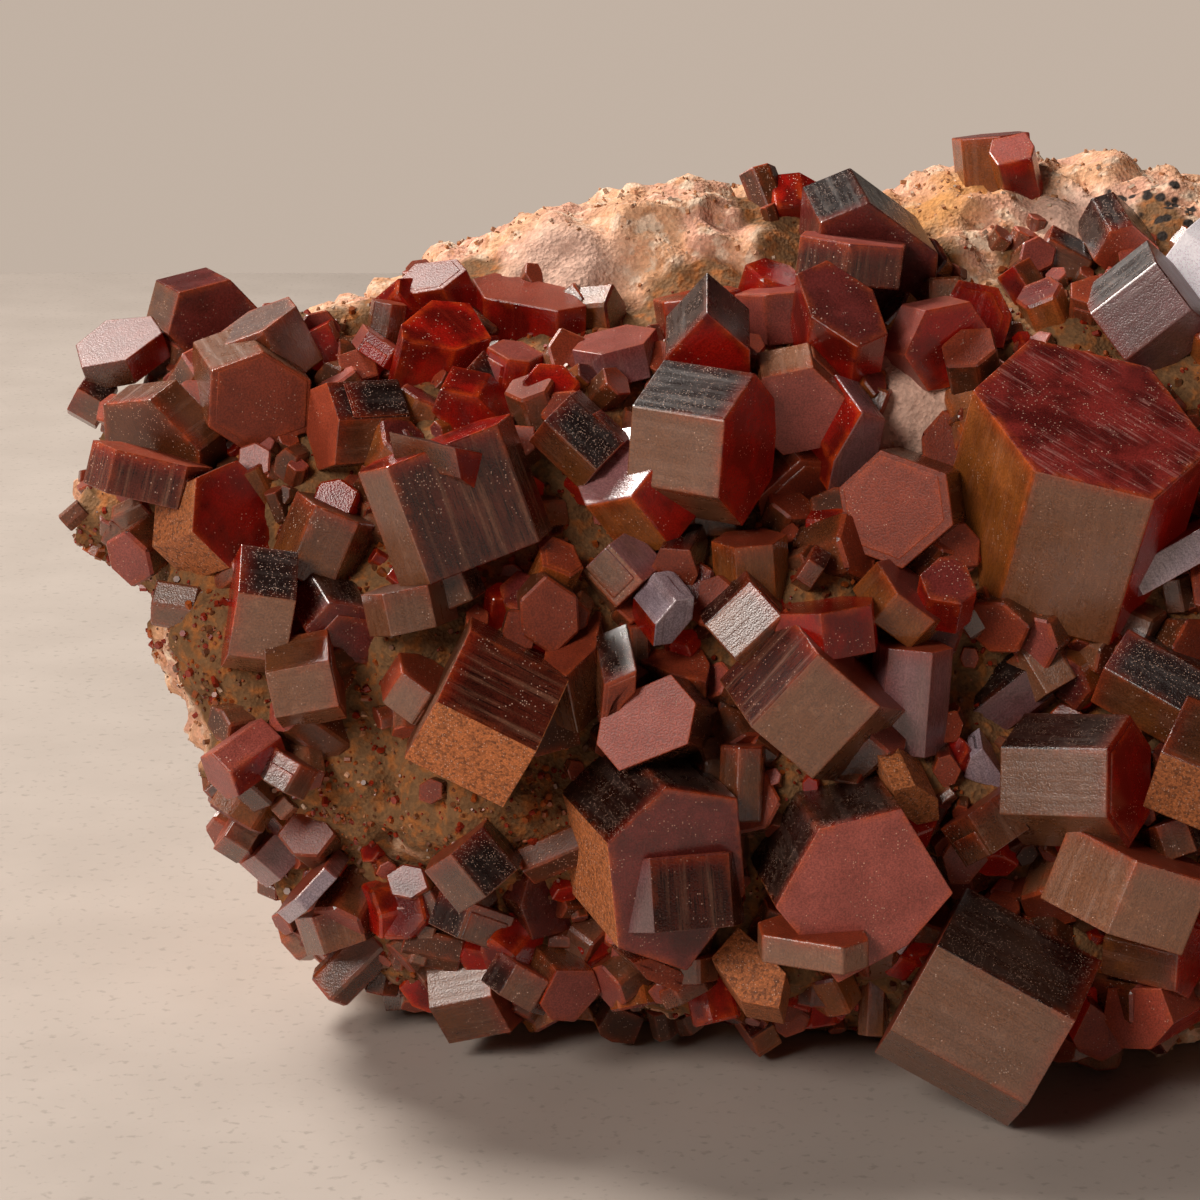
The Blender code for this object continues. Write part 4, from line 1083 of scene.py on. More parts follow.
@dataclass
class SurfacePicker:
    """Picks random places on the stone's faces, weighed by its painted patches."""

    weigh: Callable[[Vector, Vector, dict[str, float]], float]
    taken: Callable[[Vector], bool]

    SPARE = 2  # places drawn for each one that is used

    def pick(
        self, stone: bpy.types.Object, count: int, dice: random.Random
    ) -> Iterable[tuple[Vector, Vector]]:
        """Places and normals in the record's frame."""
        mesh = stone.data
        layers = {kind: mesh.attributes[kind].data for kind in (*KINDS_OF_GROUND, CRUST)}
        weights = []
        for face in mesh.polygons:
            paints = {kind: layer[face.vertices[0]].value for kind, layer in layers.items()}
            weights.append(face.area * self.weigh(face.center, face.normal, paints))
        chosen = dice.choices(range(len(weights)), weights=weights, k=count * self.SPARE)
        found = 0
        for index in chosen:
            face = mesh.polygons[index]
            if found == count:
                break
            if self.taken(face.center):
                continue
            found += 1
            corners = [mesh.vertices[corner].co for corner in face.vertices]
            place = corners[0].lerp(corners[1], dice.random()).lerp(corners[2], dice.random())
            yield place, face.normal.copy()


MIX_A = 6
MIX_B = 7
MIX_RESULT = 2


def linear(code: str) -> tuple[float, float, float, float]:
    """An sRGB hex colour as linear red, green, blue and alpha."""
    parts = [int(code[index : index + 2], 16) / 255 for index in (1, 3, 5)]
    return (*Color(parts).from_srgb_to_scene_linear(), 1.0)


def add(
    tree: bpy.types.NodeTree, kind: str, sockets: Optional[dict] = None, **settings: object
) -> bpy.types.Node:
    """Adds one node.

    Args:
        tree: the material's tree.
        kind: the node's type without its ShaderNode prefix.
        sockets: inputs by name or number, each a value or another node's output.
        settings: the node's own properties.

    Returns:
        The node.
    """
    node = tree.nodes.new("ShaderNode" + kind)
    for name, value in settings.items():
        setattr(node, name, value)
    for name, value in (sockets or {}).items():
        if isinstance(value, bpy.types.NodeSocket):
            tree.links.new(value, node.inputs[name])
        else:
            node.inputs[name].default_value = value
    return node


@dataclass(frozen=True)
class Clouds:
    """Cloudy patches: their size in millimetres, how fine they fray, and where they start and end."""

    size: float
    detail: float
    low: float
    high: float


@dataclass(frozen=True)
class Lines:
    """Long thin patches on a face: their sizes across and along the crystal in millimetres."""

    across: float
    along: float
    detail: float
    turn: float = 0.0
    wander: float = 0.0


class Painter:
    """Builds one material in layers: its colour, its height and its roughness so far."""

    def __init__(self, name: str, colour: str = "#ffffff", rough: float = 0.5) -> None:
        """Starts a material of one plain colour."""
        self.material = bpy.data.materials.new(name)
        self.material.use_nodes = True
        self.tree = self.material.node_tree
        self.tree.nodes.clear()
        self.place = self.add("TexCoord").outputs["Object"]
        self.colour: object = linear(colour)
        self.height: object = 0.0
        self.rough: object = rough

    def add(self, kind: str, sockets: Optional[dict] = None, **settings: object) -> bpy.types.Node:
        """Adds one node to this material."""
        return add(self.tree, kind, sockets, **settings)

    def mix(self, share: object, one: object, other: object, blend: str = "MIX") -> bpy.types.NodeSocket:
        """Blends two colours."""
        sockets = {0: share, MIX_A: one, MIX_B: other}
        return self.add("Mix", sockets, data_type="RGBA", blend_type=blend).outputs[MIX_RESULT]

    def sum(self, operation: str, *values: object) -> bpy.types.NodeSocket:
        """One step of arithmetic, kept between 0 and 1."""
        sockets = dict(enumerate(values))
        return self.add("Math", sockets, operation=operation, use_clamp=True).outputs[0]

    def times(self, one: object, other: object) -> bpy.types.NodeSocket:
        """Two values multiplied."""
        return self.sum("MULTIPLY", one, other)

    def noise(self, size: float, detail: float) -> bpy.types.NodeSocket:
        """Cloudy noise of a feature size in millimetres."""
        sockets = {"Vector": self.place, "Scale": 1 / (size * MM), "Detail": detail}
        return self.add("TexNoise", sockets).outputs["Fac"]

    def clouds(self, clouds: Clouds) -> bpy.types.NodeSocket:
        """Where the patches lie, from 0 to 1."""
        return self.ramp(self.noise(clouds.size, clouds.detail), clouds.low, clouds.high)

    def lines(self, face: bpy.types.NodeSocket, lines: Lines) -> bpy.types.NodeSocket:
        """Noise drawn out into lines on a face map in millimetres."""
        scale = (lines.across, lines.along, 1.0)
        stretch = {"Vector": face, "Rotation": (0.0, 0.0, lines.turn), "Scale": scale}
        flow = self.add("Mapping", stretch, vector_type="TEXTURE").outputs[0]
        sockets = {"Vector": flow, "Scale": 1.0, "Detail": lines.detail, "Distortion": lines.wander}
        return self.add("TexNoise", sockets).outputs["Fac"]

    def cells(self, size: float) -> tuple[bpy.types.NodeSocket, bpy.types.NodeSocket]:
        """Grains of a size in millimetres: the distance from each one's middle, and its own colour."""
        cells = self.add("TexVoronoi", {"Vector": self.place, "Scale": 1 / (size * MM)})
        return cells.outputs["Distance"], cells.outputs["Color"]

    def ramp(self, value: object, low: float, high: float) -> bpy.types.NodeSocket:
        """A smooth step from 0 to 1 between two values."""
        sockets = {"Value": value, "From Min": low, "From Max": high}
        return self.add("MapRange", sockets, interpolation_type="SMOOTHSTEP").outputs[0]

    def spread(self, value: object, low: float, high: float) -> bpy.types.NodeSocket:
        """A value from 0 to 1 spread evenly between two others."""
        return self.add("MapRange", {"Value": value, "To Min": low, "To Max": high}).outputs[0]

    def first(self, vector: object) -> bpy.types.NodeSocket:
        """The first of three numbers."""
        return self.add("SeparateXYZ", {0: vector}).outputs[0]

    def attribute(self, name: str) -> bpy.types.NodeSocket:
        """A value painted on the mesh."""
        return self.add("Attribute", attribute_name=name).outputs["Fac"]

    def cover(self, share: object, colour: object, strength: float = 1.0) -> None:
        """Lays a colour, or its hex code, over what is painted so far."""
        if strength != 1.0:
            share = self.times(share, strength)
        self.colour = self.mix(share, self.colour, linear(colour) if isinstance(colour, str) else colour)

    def shade(self, shade: object) -> None:
        """Makes the colour darker or lighter, in proportion."""
        grey = self.add("CombineXYZ", {0: shade, 1: shade, 2: shade}).outputs[0]
        self.colour = self.mix(1.0, self.colour, grey, "MULTIPLY")

    def lift(self, share: object, strength: float) -> None:
        """Raises the surface where the share is high."""
        self.height = self.sum("ADD", self.height, self.times(share, strength))

    def dull(self, share: object, strength: float) -> None:
        """Roughens the surface where the share is high."""
        self.rough = self.sum("ADD", self.rough, self.times(share, strength))

    def bump(self, strength: float, depth: float) -> bpy.types.NodeSocket:
        """The normal of the height so far, over a depth in millimetres."""
        sockets = {"Height": self.height, "Strength": strength, "Distance": depth * MM}
        return self.add("Bump", sockets).outputs[0]

    def finish(self, **sockets: object) -> bpy.types.Material:
        """Connects the shader, with an underscore for each space in a socket's name."""
        values = {"Base Color": self.colour, "Roughness": self.rough}
        values.update({name.replace("_", " "): value for name, value in sockets.items()})
        shader = self.add("BsdfPrincipled", values)
        self.add("OutputMaterial", {"Surface": shader.outputs[0]})
        return self.material


@dataclass(frozen=True)
class CrystalFinish:
    """A vanadinite face: resinous to glassy, zoned, dusted, streaked or grained.

    body and deep are its two cloudy colours, and edge is orange painted along its rims: painted light,
    standing in for light that shines through the thin edges. The shares say how strongly each layer shows,
    one of them painted red light just below the end face; ember is painted light that the face gives off as
    if lit from within, and ior sets how much it mirrors.
    """

    skin: Skin
    body: str
    deep: str
    # Orange painted along the rims: painted light standing in for light through the thin edges
    edge: str = "#ac4820"
    roughness: float = 0.28
    cloud: float = 0.5
    rim_light_share: float = 0.6
    dust: float = 0.0
    dust_colour: str = "#b98a6c"
    dots: float = 0.0
    dot_size: float = 0.15
    streaks: float = 0.0
    grains: float = 0.0
    scratches: float = 0.0
    # Share of painted red light just below the end face, standing in for light that passes through the
    # crystal
    painted_glow: float = 0.0
    honey: float = 0.0
    # Strength of painted light that the face gives off in its body colour
    painted_emission: float = 0.0
    ior: float = 1.65

    SPECKS = Clouds(0.13, 2.0, 0.3, 0.7)
    ZONES = Clouds(3.2, 4.0, 0.38, 0.62)
    HONEYED = Clouds(2.1, 2.0, 0.3, 0.6)
    SILKY = Clouds(3.4, 4.0, 0.36, 0.62)
    # Patches of the painted rim light
    RIM_LIGHT_PATCHES = Clouds(1.3, 4.0, 0.34, 0.62)
    BROAD_LINES = Lines(1 / 1.6, 1 / 0.09, 5.0)
    THIN_LINES = Lines(1 / 7, 2.5, 3.0)
    SILK_LINES = Lines(3.6, 0.3, 4.0, turn=math.radians(-30), wander=0.9)
    GRAIN_SIZE = 0.2
    HONEY_COLOUR = "#7c4517"
    # Colour and reach of the painted red light below the end face
    PAINTED_GLOW_COLOUR = "#8a1c0a"
    SILK_COLOUR = "#b48078"
    GRAIN_COLOUR = "#c8743f"
    DOT_COLOUR = "#c8a08a"
    PAINTED_GLOW_REACH = 1.5  # millimetres below the end face
    HONEY_REACH = (0.8, 5.0)

    def material(self) -> bpy.types.Material:
        """Builds the material, layer upon layer."""
        paint = Painter(self.skin.value, self.body)
        face = paint.add("UVMap", uv_map="face").outputs[0]
        specks = paint.clouds(self.SPECKS)
        paint.cover(paint.clouds(self.ZONES), self.deep, self.cloud)
        paint.height = paint.times(specks, 0.25)
        paint.rough = paint.spread(paint.noise(1.4, 4.0), self.roughness * 0.75, self.roughness * 1.35)
        if self.streaks:
            self.streak(paint, face)
        below = paint.add("SeparateXYZ", {0: face}).outputs[1]
        if self.honey:
            root = paint.times(paint.ramp(below, *self.HONEY_REACH), paint.clouds(self.HONEYED))
            paint.cover(root, self.HONEY_COLOUR, self.honey)
        # Painted light: red just below the end face, standing in for light that passes through the crystal
        if self.painted_glow:
            paint.cover(paint.ramp(below, self.PAINTED_GLOW_REACH, 0.0), self.PAINTED_GLOW_COLOUR, self.painted_glow)
        if self.scratches:
            silk = paint.ramp(paint.lines(face, self.SILK_LINES), 0.5, 0.72)
            share = paint.times(paint.times(silk, paint.clouds(self.SILKY)), self.scratches)
            paint.cover(share, self.SILK_COLOUR)
            paint.dull(share, 0.3)
        # Painted light: orange in patches along the rims, standing in for light shining through the thin
        # edges
        rims = paint.sum("POWER", paint.attribute("rim"), 1.8)
        paint.cover(paint.times(rims, paint.clouds(self.RIM_LIGHT_PATCHES)), self.edge, self.rim_light_share)
        if self.grains:
            self.grain(paint)
        if self.dots:
            self.dot(paint)
        if self.dust:
            film = Clouds(0.9, 5.0, 0.62 - self.dust * 0.3, 0.8 - self.dust * 0.2)
            share = paint.times(paint.clouds(film), self.dust)
            paint.cover(share, self.dust_colour)
            paint.dull(share, 0.3)
        tint = paint.spread(paint.attribute("tint"), 0.6, 1.4)
        shade = paint.add("Math", {0: paint.spread(specks, 0.72, 1.28), 1: tint}, operation="MULTIPLY")
        paint.shade(shade.outputs[0])
        # The face gives off painted light in its body colour, as strong as ember says
        body = linear(self.body)
        normal = paint.bump(0.5, 0.06)
        return paint.finish(Normal=normal, IOR=self.ior, Emission_Color=body, Emission_Strength=self.painted_emission)

    def streak(self, paint: Painter, face: bpy.types.NodeSocket) -> None:
        """Growth lines along the sides: broad pale ones that stand out, and thin dark ones."""
        line = paint.lines(face, self.BROAD_LINES)
        broad = paint.ramp(line, 0.45, 0.75)
        paint.cover(broad, paint.mix(0.5, linear(self.dust_colour), linear(self.body)), self.streaks)
        thin = paint.ramp(paint.lines(face, self.THIN_LINES), 0.5, 0.68)
        paint.cover(thin, self.deep, min(1.0, self.streaks * 1.6))
        paint.lift(line, 1.0)
        paint.dull(broad, 0.12)

    def grain(self, paint: Painter) -> None:
        """A skin of small rounded grains, some paler than others."""
        distance, colour = paint.cells(self.GRAIN_SIZE)
        paint.cover(paint.ramp(paint.first(colour), -0.3, 0.8), self.GRAIN_COLOUR, self.grains)
        paint.height = paint.times(paint.height, 0.5)
        paint.lift(paint.sum("SUBTRACT", 1.0, distance), self.grains)
        paint.rough = paint.sum("ADD", paint.rough, 0.25 * self.grains)

    def dot(self, paint: Painter) -> None:
        """Pale specks strewn over the face, more in some places than in others, partly dust and tiny
        crystals and partly painted glints.
        """
        distance, colour = paint.cells(self.dot_size)
        crowd = {0: paint.noise(2.4, 2.0), 1: 0.9, 2: paint.first(colour)}
        crowd = paint.add("Math", crowd, operation="MULTIPLY_ADD").outputs[0]
        here = paint.ramp(crowd, 1.45 - self.dots, 1.5 - self.dots)
        share = paint.times(here, paint.ramp(distance, 0.4, 0.22))
        paint.cover(share, self.DOT_COLOUR)
        paint.lift(share, 0.9)
        paint.dull(share, 0.35)


FINISHES = (
    # Silky brown sides that turn honey brown towards the root
    CrystalFinish(SATIN, "#643822", "#3e1c0c", roughness=0.22, dust=0.12, painted_glow=0.35, streaks=0.16,
                  dots=0.03, honey=0.5, ior=1.85),
    # Paler, dusty tan sides
    CrystalFinish(TAN, "#7c5038", "#5e3a22", roughness=0.26, cloud=0.35, dust=0.2, painted_glow=0.2, streaks=0.22,
                  dots=0.03, honey=0.3, ior=1.85),
    # Amber to orange-brown sides that the light shines into, with faint painted light given off from within
    CrystalFinish(AMBER, "#8a4c22", "#54280f", edge="#b8501c", roughness=0.24, cloud=0.7, painted_glow=0.3,
                  streaks=0.2, honey=0.6, dots=0.03, painted_emission=0.04, ior=1.6),
    # Near-black tops: a painted dark reflection of the room above, strewn with pale specks that are partly
    # painted glints
    CrystalFinish(SPARKLE, "#220c07", "#120604", edge="#8a3414", roughness=0.26, dots=0.26, painted_glow=0.35,
                  dot_size=0.1, streaks=0.2, dust_colour="#7c6a62", ior=1.9),
    # Sides ribbed with dark and pale growth lines
    CrystalFinish(STREAKED, "#562116", "#1c0806", roughness=0.2, streaks=0.5, painted_glow=0.5, dots=0.08),
    # Dull sides covered with orange-brown grains
    CrystalFinish(GRAINED, "#6e3c1c", "#4a230d", roughness=0.45, grains=0.8, rim_light_share=0.3, dots=0.25,
                  ior=1.5),
    # Lilac-grey sides that catch the light, the lilac partly a painted sheen of the pale room
    CrystalFinish(GLOSSY, "#82585a", "#5e3f3c", roughness=0.22, painted_glow=0.4, rim_light_share=0.3, streaks=0.15,
                  ior=1.9),
    # Bright silvery lilac, a painted reflection, like a mirror
    CrystalFinish(MIRROR, "#b8a6b0", "#74626c", roughness=0.14, rim_light_share=0.15, cloud=0.6,
                  streaks=0.3, ior=2.2),
    # A face painted nearly white, a painted reflection of the key lamp, that also gives off painted light
    CrystalFinish(GLARE, "#efe8ea", "#b9adb8", roughness=0.12, rim_light_share=0.1, streaks=0.15, painted_emission=0.3),
    # Deep clear red, with painted light given off from within, standing in for light that passes through the
    # crystal
    CrystalFinish(GLOW, "#8a1109", "#380905", edge="#b84514", roughness=0.16, cloud=0.9, painted_emission=0.12,
                  dots=0.03, streaks=0.15, dust_colour="#c0401c", ior=1.6),
    # Matt brick-red ends
    CrystalFinish(BRICK, "#8c3a24", "#6e2a16", roughness=0.36, dots=0.05, ior=1.5),
    # Dark wine-red ends
    CrystalFinish(MAROON, "#6e2a26", "#451814", roughness=0.26, cloud=0.6, dots=0.06, ior=1.6),
    # Ends with a pinkish bloom
    CrystalFinish(MAUVE, "#964a40", "#74332a", roughness=0.34, dots=0.05, ior=1.55),
    # Lighter, salmon-red ends
    CrystalFinish(SALMON, "#a64632", "#8a3220", roughness=0.38, dots=0.05, ior=1.5),
    # The largest end: dark red with silky pale lines drawn over it
    CrystalFinish(SCRATCHED, "#742420", "#3c0c0a", roughness=0.24, cloud=0.8, scratches=0.42, dots=0.1,
                  ior=1.6),
    # Dull brown ends with a dusting of specks
    CrystalFinish(BROWN, "#5a2e14", "#3a1a0a", roughness=0.4, dots=0.2, ior=1.55),
)


@dataclass(frozen=True)
class Sandstone:
    """Loose-grained sandstone: matt peach to pink grains, ochre and manganese stains, brown crust."""

    name: str = "crusted_sandstone"
    peach: str = "#e6b088"
    pink: str = "#dda48a"
    pale: str = "#f0d2b6"
    hollow: str = "#b87c4e"
    bleached: str = "#d8b09c"
    ochre: str = "#c98a45"
    crust: str = "#7e5a38"
    rust: str = "#a5642f"
    black: str = "#2a211c"

    PINK = Clouds(6.0, 5.0, 0.4, 0.62)
    PALE = Clouds(1.4, 4.0, 0.48, 0.66)
    HOLLOW = Clouds(1.1, 3.0, 0.44, 0.32)
    RUST = Clouds(1.0, 4.0, 0.45, 0.7)
    SPOT_SIZE = 1.0
    GRAIN_SIZE = 0.3

    def material(self) -> bpy.types.Material:
        """Builds the material."""
        paint = Painter(self.name, self.peach, rough=0.9)
        paint.cover(paint.clouds(self.PINK), self.pink)
        paint.cover(paint.clouds(self.PALE), self.pale)
        paint.cover(paint.clouds(self.HOLLOW), self.hollow, 0.6)
        paint.cover(paint.attribute("pale"), self.bleached)
        paint.cover(paint.attribute("ochre"), self.ochre, 0.85)
        grown = paint.sum("ADD", paint.attribute("crust"), paint.attribute("slope"))
        grown = paint.sum("SUBTRACT", grown, paint.times(paint.attribute("pale"), 0.9))
        ragged = paint.sum("ADD", grown, paint.times(paint.noise(2.2, 5.0), 0.5))
        crust = paint.mix(paint.clouds(self.RUST), linear(self.crust), linear(self.rust))
        paint.cover(paint.ramp(ragged, 0.7, 1.0), crust)
        stained = paint.ramp(paint.attribute("manganese"), 0.25, 0.6)
        paint.cover(paint.times(paint.ramp(paint.cells(self.SPOT_SIZE)[0], 0.55, 0.35), stained), self.black)
        distance, colour = paint.cells(self.GRAIN_SIZE)
        paint.shade(paint.spread(colour, 0.72, 1.22))
        paint.height = paint.times(paint.noise(0.5, 5.0), 0.7)
        paint.lift(distance, 0.3)
        return paint.finish(Normal=paint.bump(0.8, 0.35), IOR=1.45)


@dataclass(frozen=True)
class Grain:
    """Loose grains and splinters: matt stone or glassy vanadinite, one plain colour each."""

    name: str
    colour: str
    roughness: float
    ior: float = 1.5

    SHADES = Clouds(0.8, 3.0, 0.35, 0.65)
    DARKEST = 0.55

    def material(self) -> bpy.types.Material:
        """Builds the material."""
        paint = Painter(self.name, self.colour, self.roughness)
        dark = tuple(channel * self.DARKEST for channel in linear(self.colour)[:3]) + (1.0,)
        paint.cover(paint.clouds(self.SHADES), dark)
        return paint.finish(IOR=self.ior)


@dataclass(frozen=True)
class Studio:
    """Plain pale floor, soft lights and the camera, none of them part of the specimen."""

    focal: float = 100.0
    sensor: float = 36.0
    floor_size: float = 1.4
    floor_end: float = 0.395
    floor_gap: float = 0.1 * MM
    backdrop: float = 0.85
    near_clip: float = 0.005

    def floor(self) -> None:
        """A pale matt floor that ends well behind the specimen."""
        place = (0, self.floor_end - self.floor_size / 2, -self.floor_gap)
        bpy.ops.mesh.primitive_plane_add(size=self.floor_size, location=place)
        plane = bpy.context.object
        plane.name = "floor"
        paint = Painter("pale_floor", "#bfb4ab", rough=0.6)
        paint.cover(paint.clouds(Clouds(14.0, 4.0, 0.2, 0.8)), "#b6aba2")
        paint.cover(paint.clouds(Clouds(0.9, 4.0, 0.58, 0.7)), "#8f857c", 0.45)
        plane.data.materials.append(paint.finish())

    def lamp(self, name: str, place: Point, aim: Vector, size: Point, power: float, colour: str) -> None:
        """One soft area light.

        Args:
            name: its name.
            place: where it stands, in metres.
            aim: the point that it looks at.
            size: width and height in metres.
            power: watts.
            colour: its colour.
        """
        data = bpy.data.lights.new(name, "AREA")
        data.shape = "RECTANGLE"
        data.size, data.size_y = size
        data.energy = power
        data.color = linear(colour)[:3]
        lamp = bpy.data.objects.new(name, data)
        bpy.context.scene.collection.objects.link(lamp)
        lamp.location = place
        lamp.rotation_euler = (aim - Vector(place)).to_track_quat("-Z", "Y").to_euler()

    def lights(self) -> None:
        """A key lamp behind on the left, a front fill, a pale room below eye level and a dark one above."""
        aim = Vector((0, 0, 0.03))
        self.lamp("key", (-0.36, 0.26, 0.52), aim, (0.16, 0.16), 5.2, "#fff8f0")
        self.lamp("front_fill", (-0.42, -0.5, 0.42), aim, (0.28, 0.28), 3.4, "#fff6ee")
        world = bpy.data.worlds.new("room")
        bpy.context.scene.world = world
        world.use_nodes = True
        tree = world.node_tree
        tree.nodes.clear()
        way = add(tree, "TexCoord").outputs["Generated"]
        _, back, up = add(tree, "SeparateXYZ", {0: way}).outputs
        share = add(tree, "MapRange", {"Value": up, "From Min": -0.04, "From Max": 0.2}).outputs[0]
        sockets = {0: share, MIX_A: linear("#d0bfb0"), MIX_B: linear("#1d1a19")}
        colour = add(tree, "Mix", sockets, data_type="RGBA").outputs[MIX_RESULT]
        clouds = add(tree, "TexNoise", {"Vector": way, "Scale": 2.6, "Detail": 1.0}).outputs["Fac"]
        sockets = {"Value": clouds, "From Min": 0.38, "From Max": 0.62, "To Min": 0.25, "To Max": 1.5}
        patches = add(tree, "MapRange", sockets).outputs[0]
        plain = add(tree, "MapRange", {"Value": back, "From Min": 0.5, "From Max": 0.8}).outputs[0]
        sockets = {0: plain, 2: patches, 3: self.backdrop}
        strength = add(tree, "Mix", sockets, data_type="FLOAT").outputs[0]
        shader = add(tree, "Background", {"Color": colour, "Strength": strength})
        add(tree, "OutputWorld", {"Surface": shader.outputs[0]})

    def camera(self) -> None:
        """Looks from the eye of the grid."""
        data = bpy.data.cameras.new("camera")
        data.lens = self.focal
        data.sensor_width = self.sensor
        data.clip_start = self.near_clip
        camera = bpy.data.objects.new("camera", data)
        bpy.context.scene.collection.objects.link(camera)
        camera.location = EYE + TO_RECORD
        camera.rotation_euler = VIEW_AWAY.to_track_quat("-Z", "Y").to_euler()
        bpy.context.scene.camera = camera
        bpy.context.scene.view_settings.view_transform = "Standard"


# Crystals, region by region of the front view

UPPER_LEFT = (
    Drawing("mauve_shoulder", [(169, 335), (180, 293), (231, 280), (261, 311)], (171, 288), lean=0.93,
            length=6, look=Look(MAROON, SATIN, MAROON)),
    Drawing("pink_end", [(82, 368), (127, 360), (163, 333), (152, 316), (107, 320), (76, 345)],
            (136, 384), look=Look(MAUVE, SATIN, MAUVE, right=GLOW, tint=0.0)),
    Drawing("dark_edge", [(86, 371), (78, 386), (72, 412)], (106, 402), lean=-0.1),
    Drawing("glitter_red", [(103, 405), (150, 400), (200, 452)], (177, 379), near=1,
            look=Look(BROWN, BROWN, SATIN, tint=0.7)),
    Drawing("bar_over_glitter", [(95, 437), (118, 448), (187, 468), (213, 471)], (108, 491), lean=0.1,
            near=3.5, look=Look(BRICK, STREAKED, SATIN, tint=0.6)),
    Drawing("orange_red", [(209, 428), (212, 371), (264, 352), (312, 381), (310, 432), (250, 454)],
            (192, 341), near=2, look=Look(BRICK, SATIN, TAN)),
    Drawing("grey_behind_orange", [(224, 348), (261, 328), (297, 307)], (289, 381), lean=0.25,
            look=Look(BROWN, SATIN, TAN)),
    Drawing("small_red_square", [(292, 334), (311, 331), (330, 328)], (328, 367), lean=0.1,
            look=Look(GLOW, GLOW, GLOW)),
    Drawing("dark_red_end", [(197, 478), (193, 532), (230, 568)], (152, 547),
            look=Look(GLOW, GRAINED, SATIN, tint=0.4)),
    Drawing("olive_block", [(117, 502), (112, 520), (104, 543)], (155, 543), lean=-0.1,
            look=Look(BRICK, TAN, SATIN, tint=0.3)),
    Drawing("box_upper_left", [(328, 384), (340, 420), (332, 465)], (411, 416), lean=0.35, near=2),
    Drawing("pink_pair", [(358, 325), (372, 329), (398, 350)], (360, 348), lean=0.1,
            look=Look(SALMON, GLOW, MAUVE)),
)
UPPER_MIDDLE = (
    Drawing("pink_top", [(413, 294), (443, 289), (467, 270), (457, 259), (415, 264), (396, 284)],
            (460, 325), look=Look(MAUVE, GLOW, MAUVE, tint=0.05)),
    Drawing("deep_red", [(403, 341), (456, 351), (492, 338), (470, 303), (432, 300), (401, 325)],
            (452, 367), length=7, look=Look(GLOW, GLOW, GLOW)),
    Drawing("tall_back_prism", [(484, 298), (558, 311), (587, 306), (565, 287), (497, 272), (472, 279)],
            (557, 388), lean=0.3, near=1, look=Look(SALMON, GLOW, MAUVE, tint=0.4)),
    Drawing("small_round", [(493, 355), (515, 364), (537, 359), (525, 345)], (507, 412), lean=0.3,
            look=Look(MAUVE, GLOW, SATIN)),
    Drawing("small_box_middle", [(490, 355), (461, 367), (450, 388)], (487, 388), lean=-0.1),
    Drawing("small_red_end", [(431, 412), (440, 390), (478, 398)], (446, 378), lean=0.85, length=4,
            look=Look(GLOW, GLOW, GLOW)),
    Drawing("brown_prism", [(383, 318), (405, 303)], (398, 345)),
    Drawing("streaked_upper", [(357, 470), (382, 450), (497, 425), (518, 432)], (425, 567), lean=0.12,
            near=3, look=Look(GLOW, STREAKED, STREAKED, left=TAN)),
    Drawing("dark_beside_streaked", [(508, 458), (567, 499), (573, 530)], (490, 480), lean=0.55,
            length=6, near=1, look=Look(GLOW)),
    Drawing("grey_lilac", [(497, 418), (512, 411), (522, 418)], (510, 457), lean=0.1),
    Drawing("dark_slant", [(530, 443), (544, 420), (569, 394)], (596, 469), lean=-0.1, near=1),
    Drawing("white_pink_end", [(585, 506), (631, 497), (664, 455)], (672, 549), near=3,
            look=Look(GLOSSY, AMBER, MAUVE, right=GLOW, tint=0.9)),
    Drawing("black_topped_box", [(762, 376), (720, 420), (718, 497)], (628, 405), lean=0.38, near=3,
            look=Look(GLOW, TAN)),
    Drawing("tan_topped", [(762, 378), (813, 368), (849, 402)], (808, 342), near=1,
            look=Look(MAUVE, SATIN, TAN, tint=0.45)),
    Drawing("lilac_square", [(600, 362), (641, 343), (660, 322)], (648, 377), lean=0.3,
            look=Look(MAUVE, GLOSSY, GLOSSY)),
    Drawing("red_behind", [(663, 303), (707, 299), (740, 286)], (714, 345), lean=0.1,
            look=Look(GLOW, GLOW, GLOW)),
    Drawing("red_roof", [(665, 358), (707, 313), (750, 350)], (707, 290), lean=0.85, length=6,
            look=Look(GLOW)),
    Drawing("mauve_small", [(762, 303), (808, 290)], (812, 340), look=Look(MAUVE, MAUVE, MAUVE)),
)
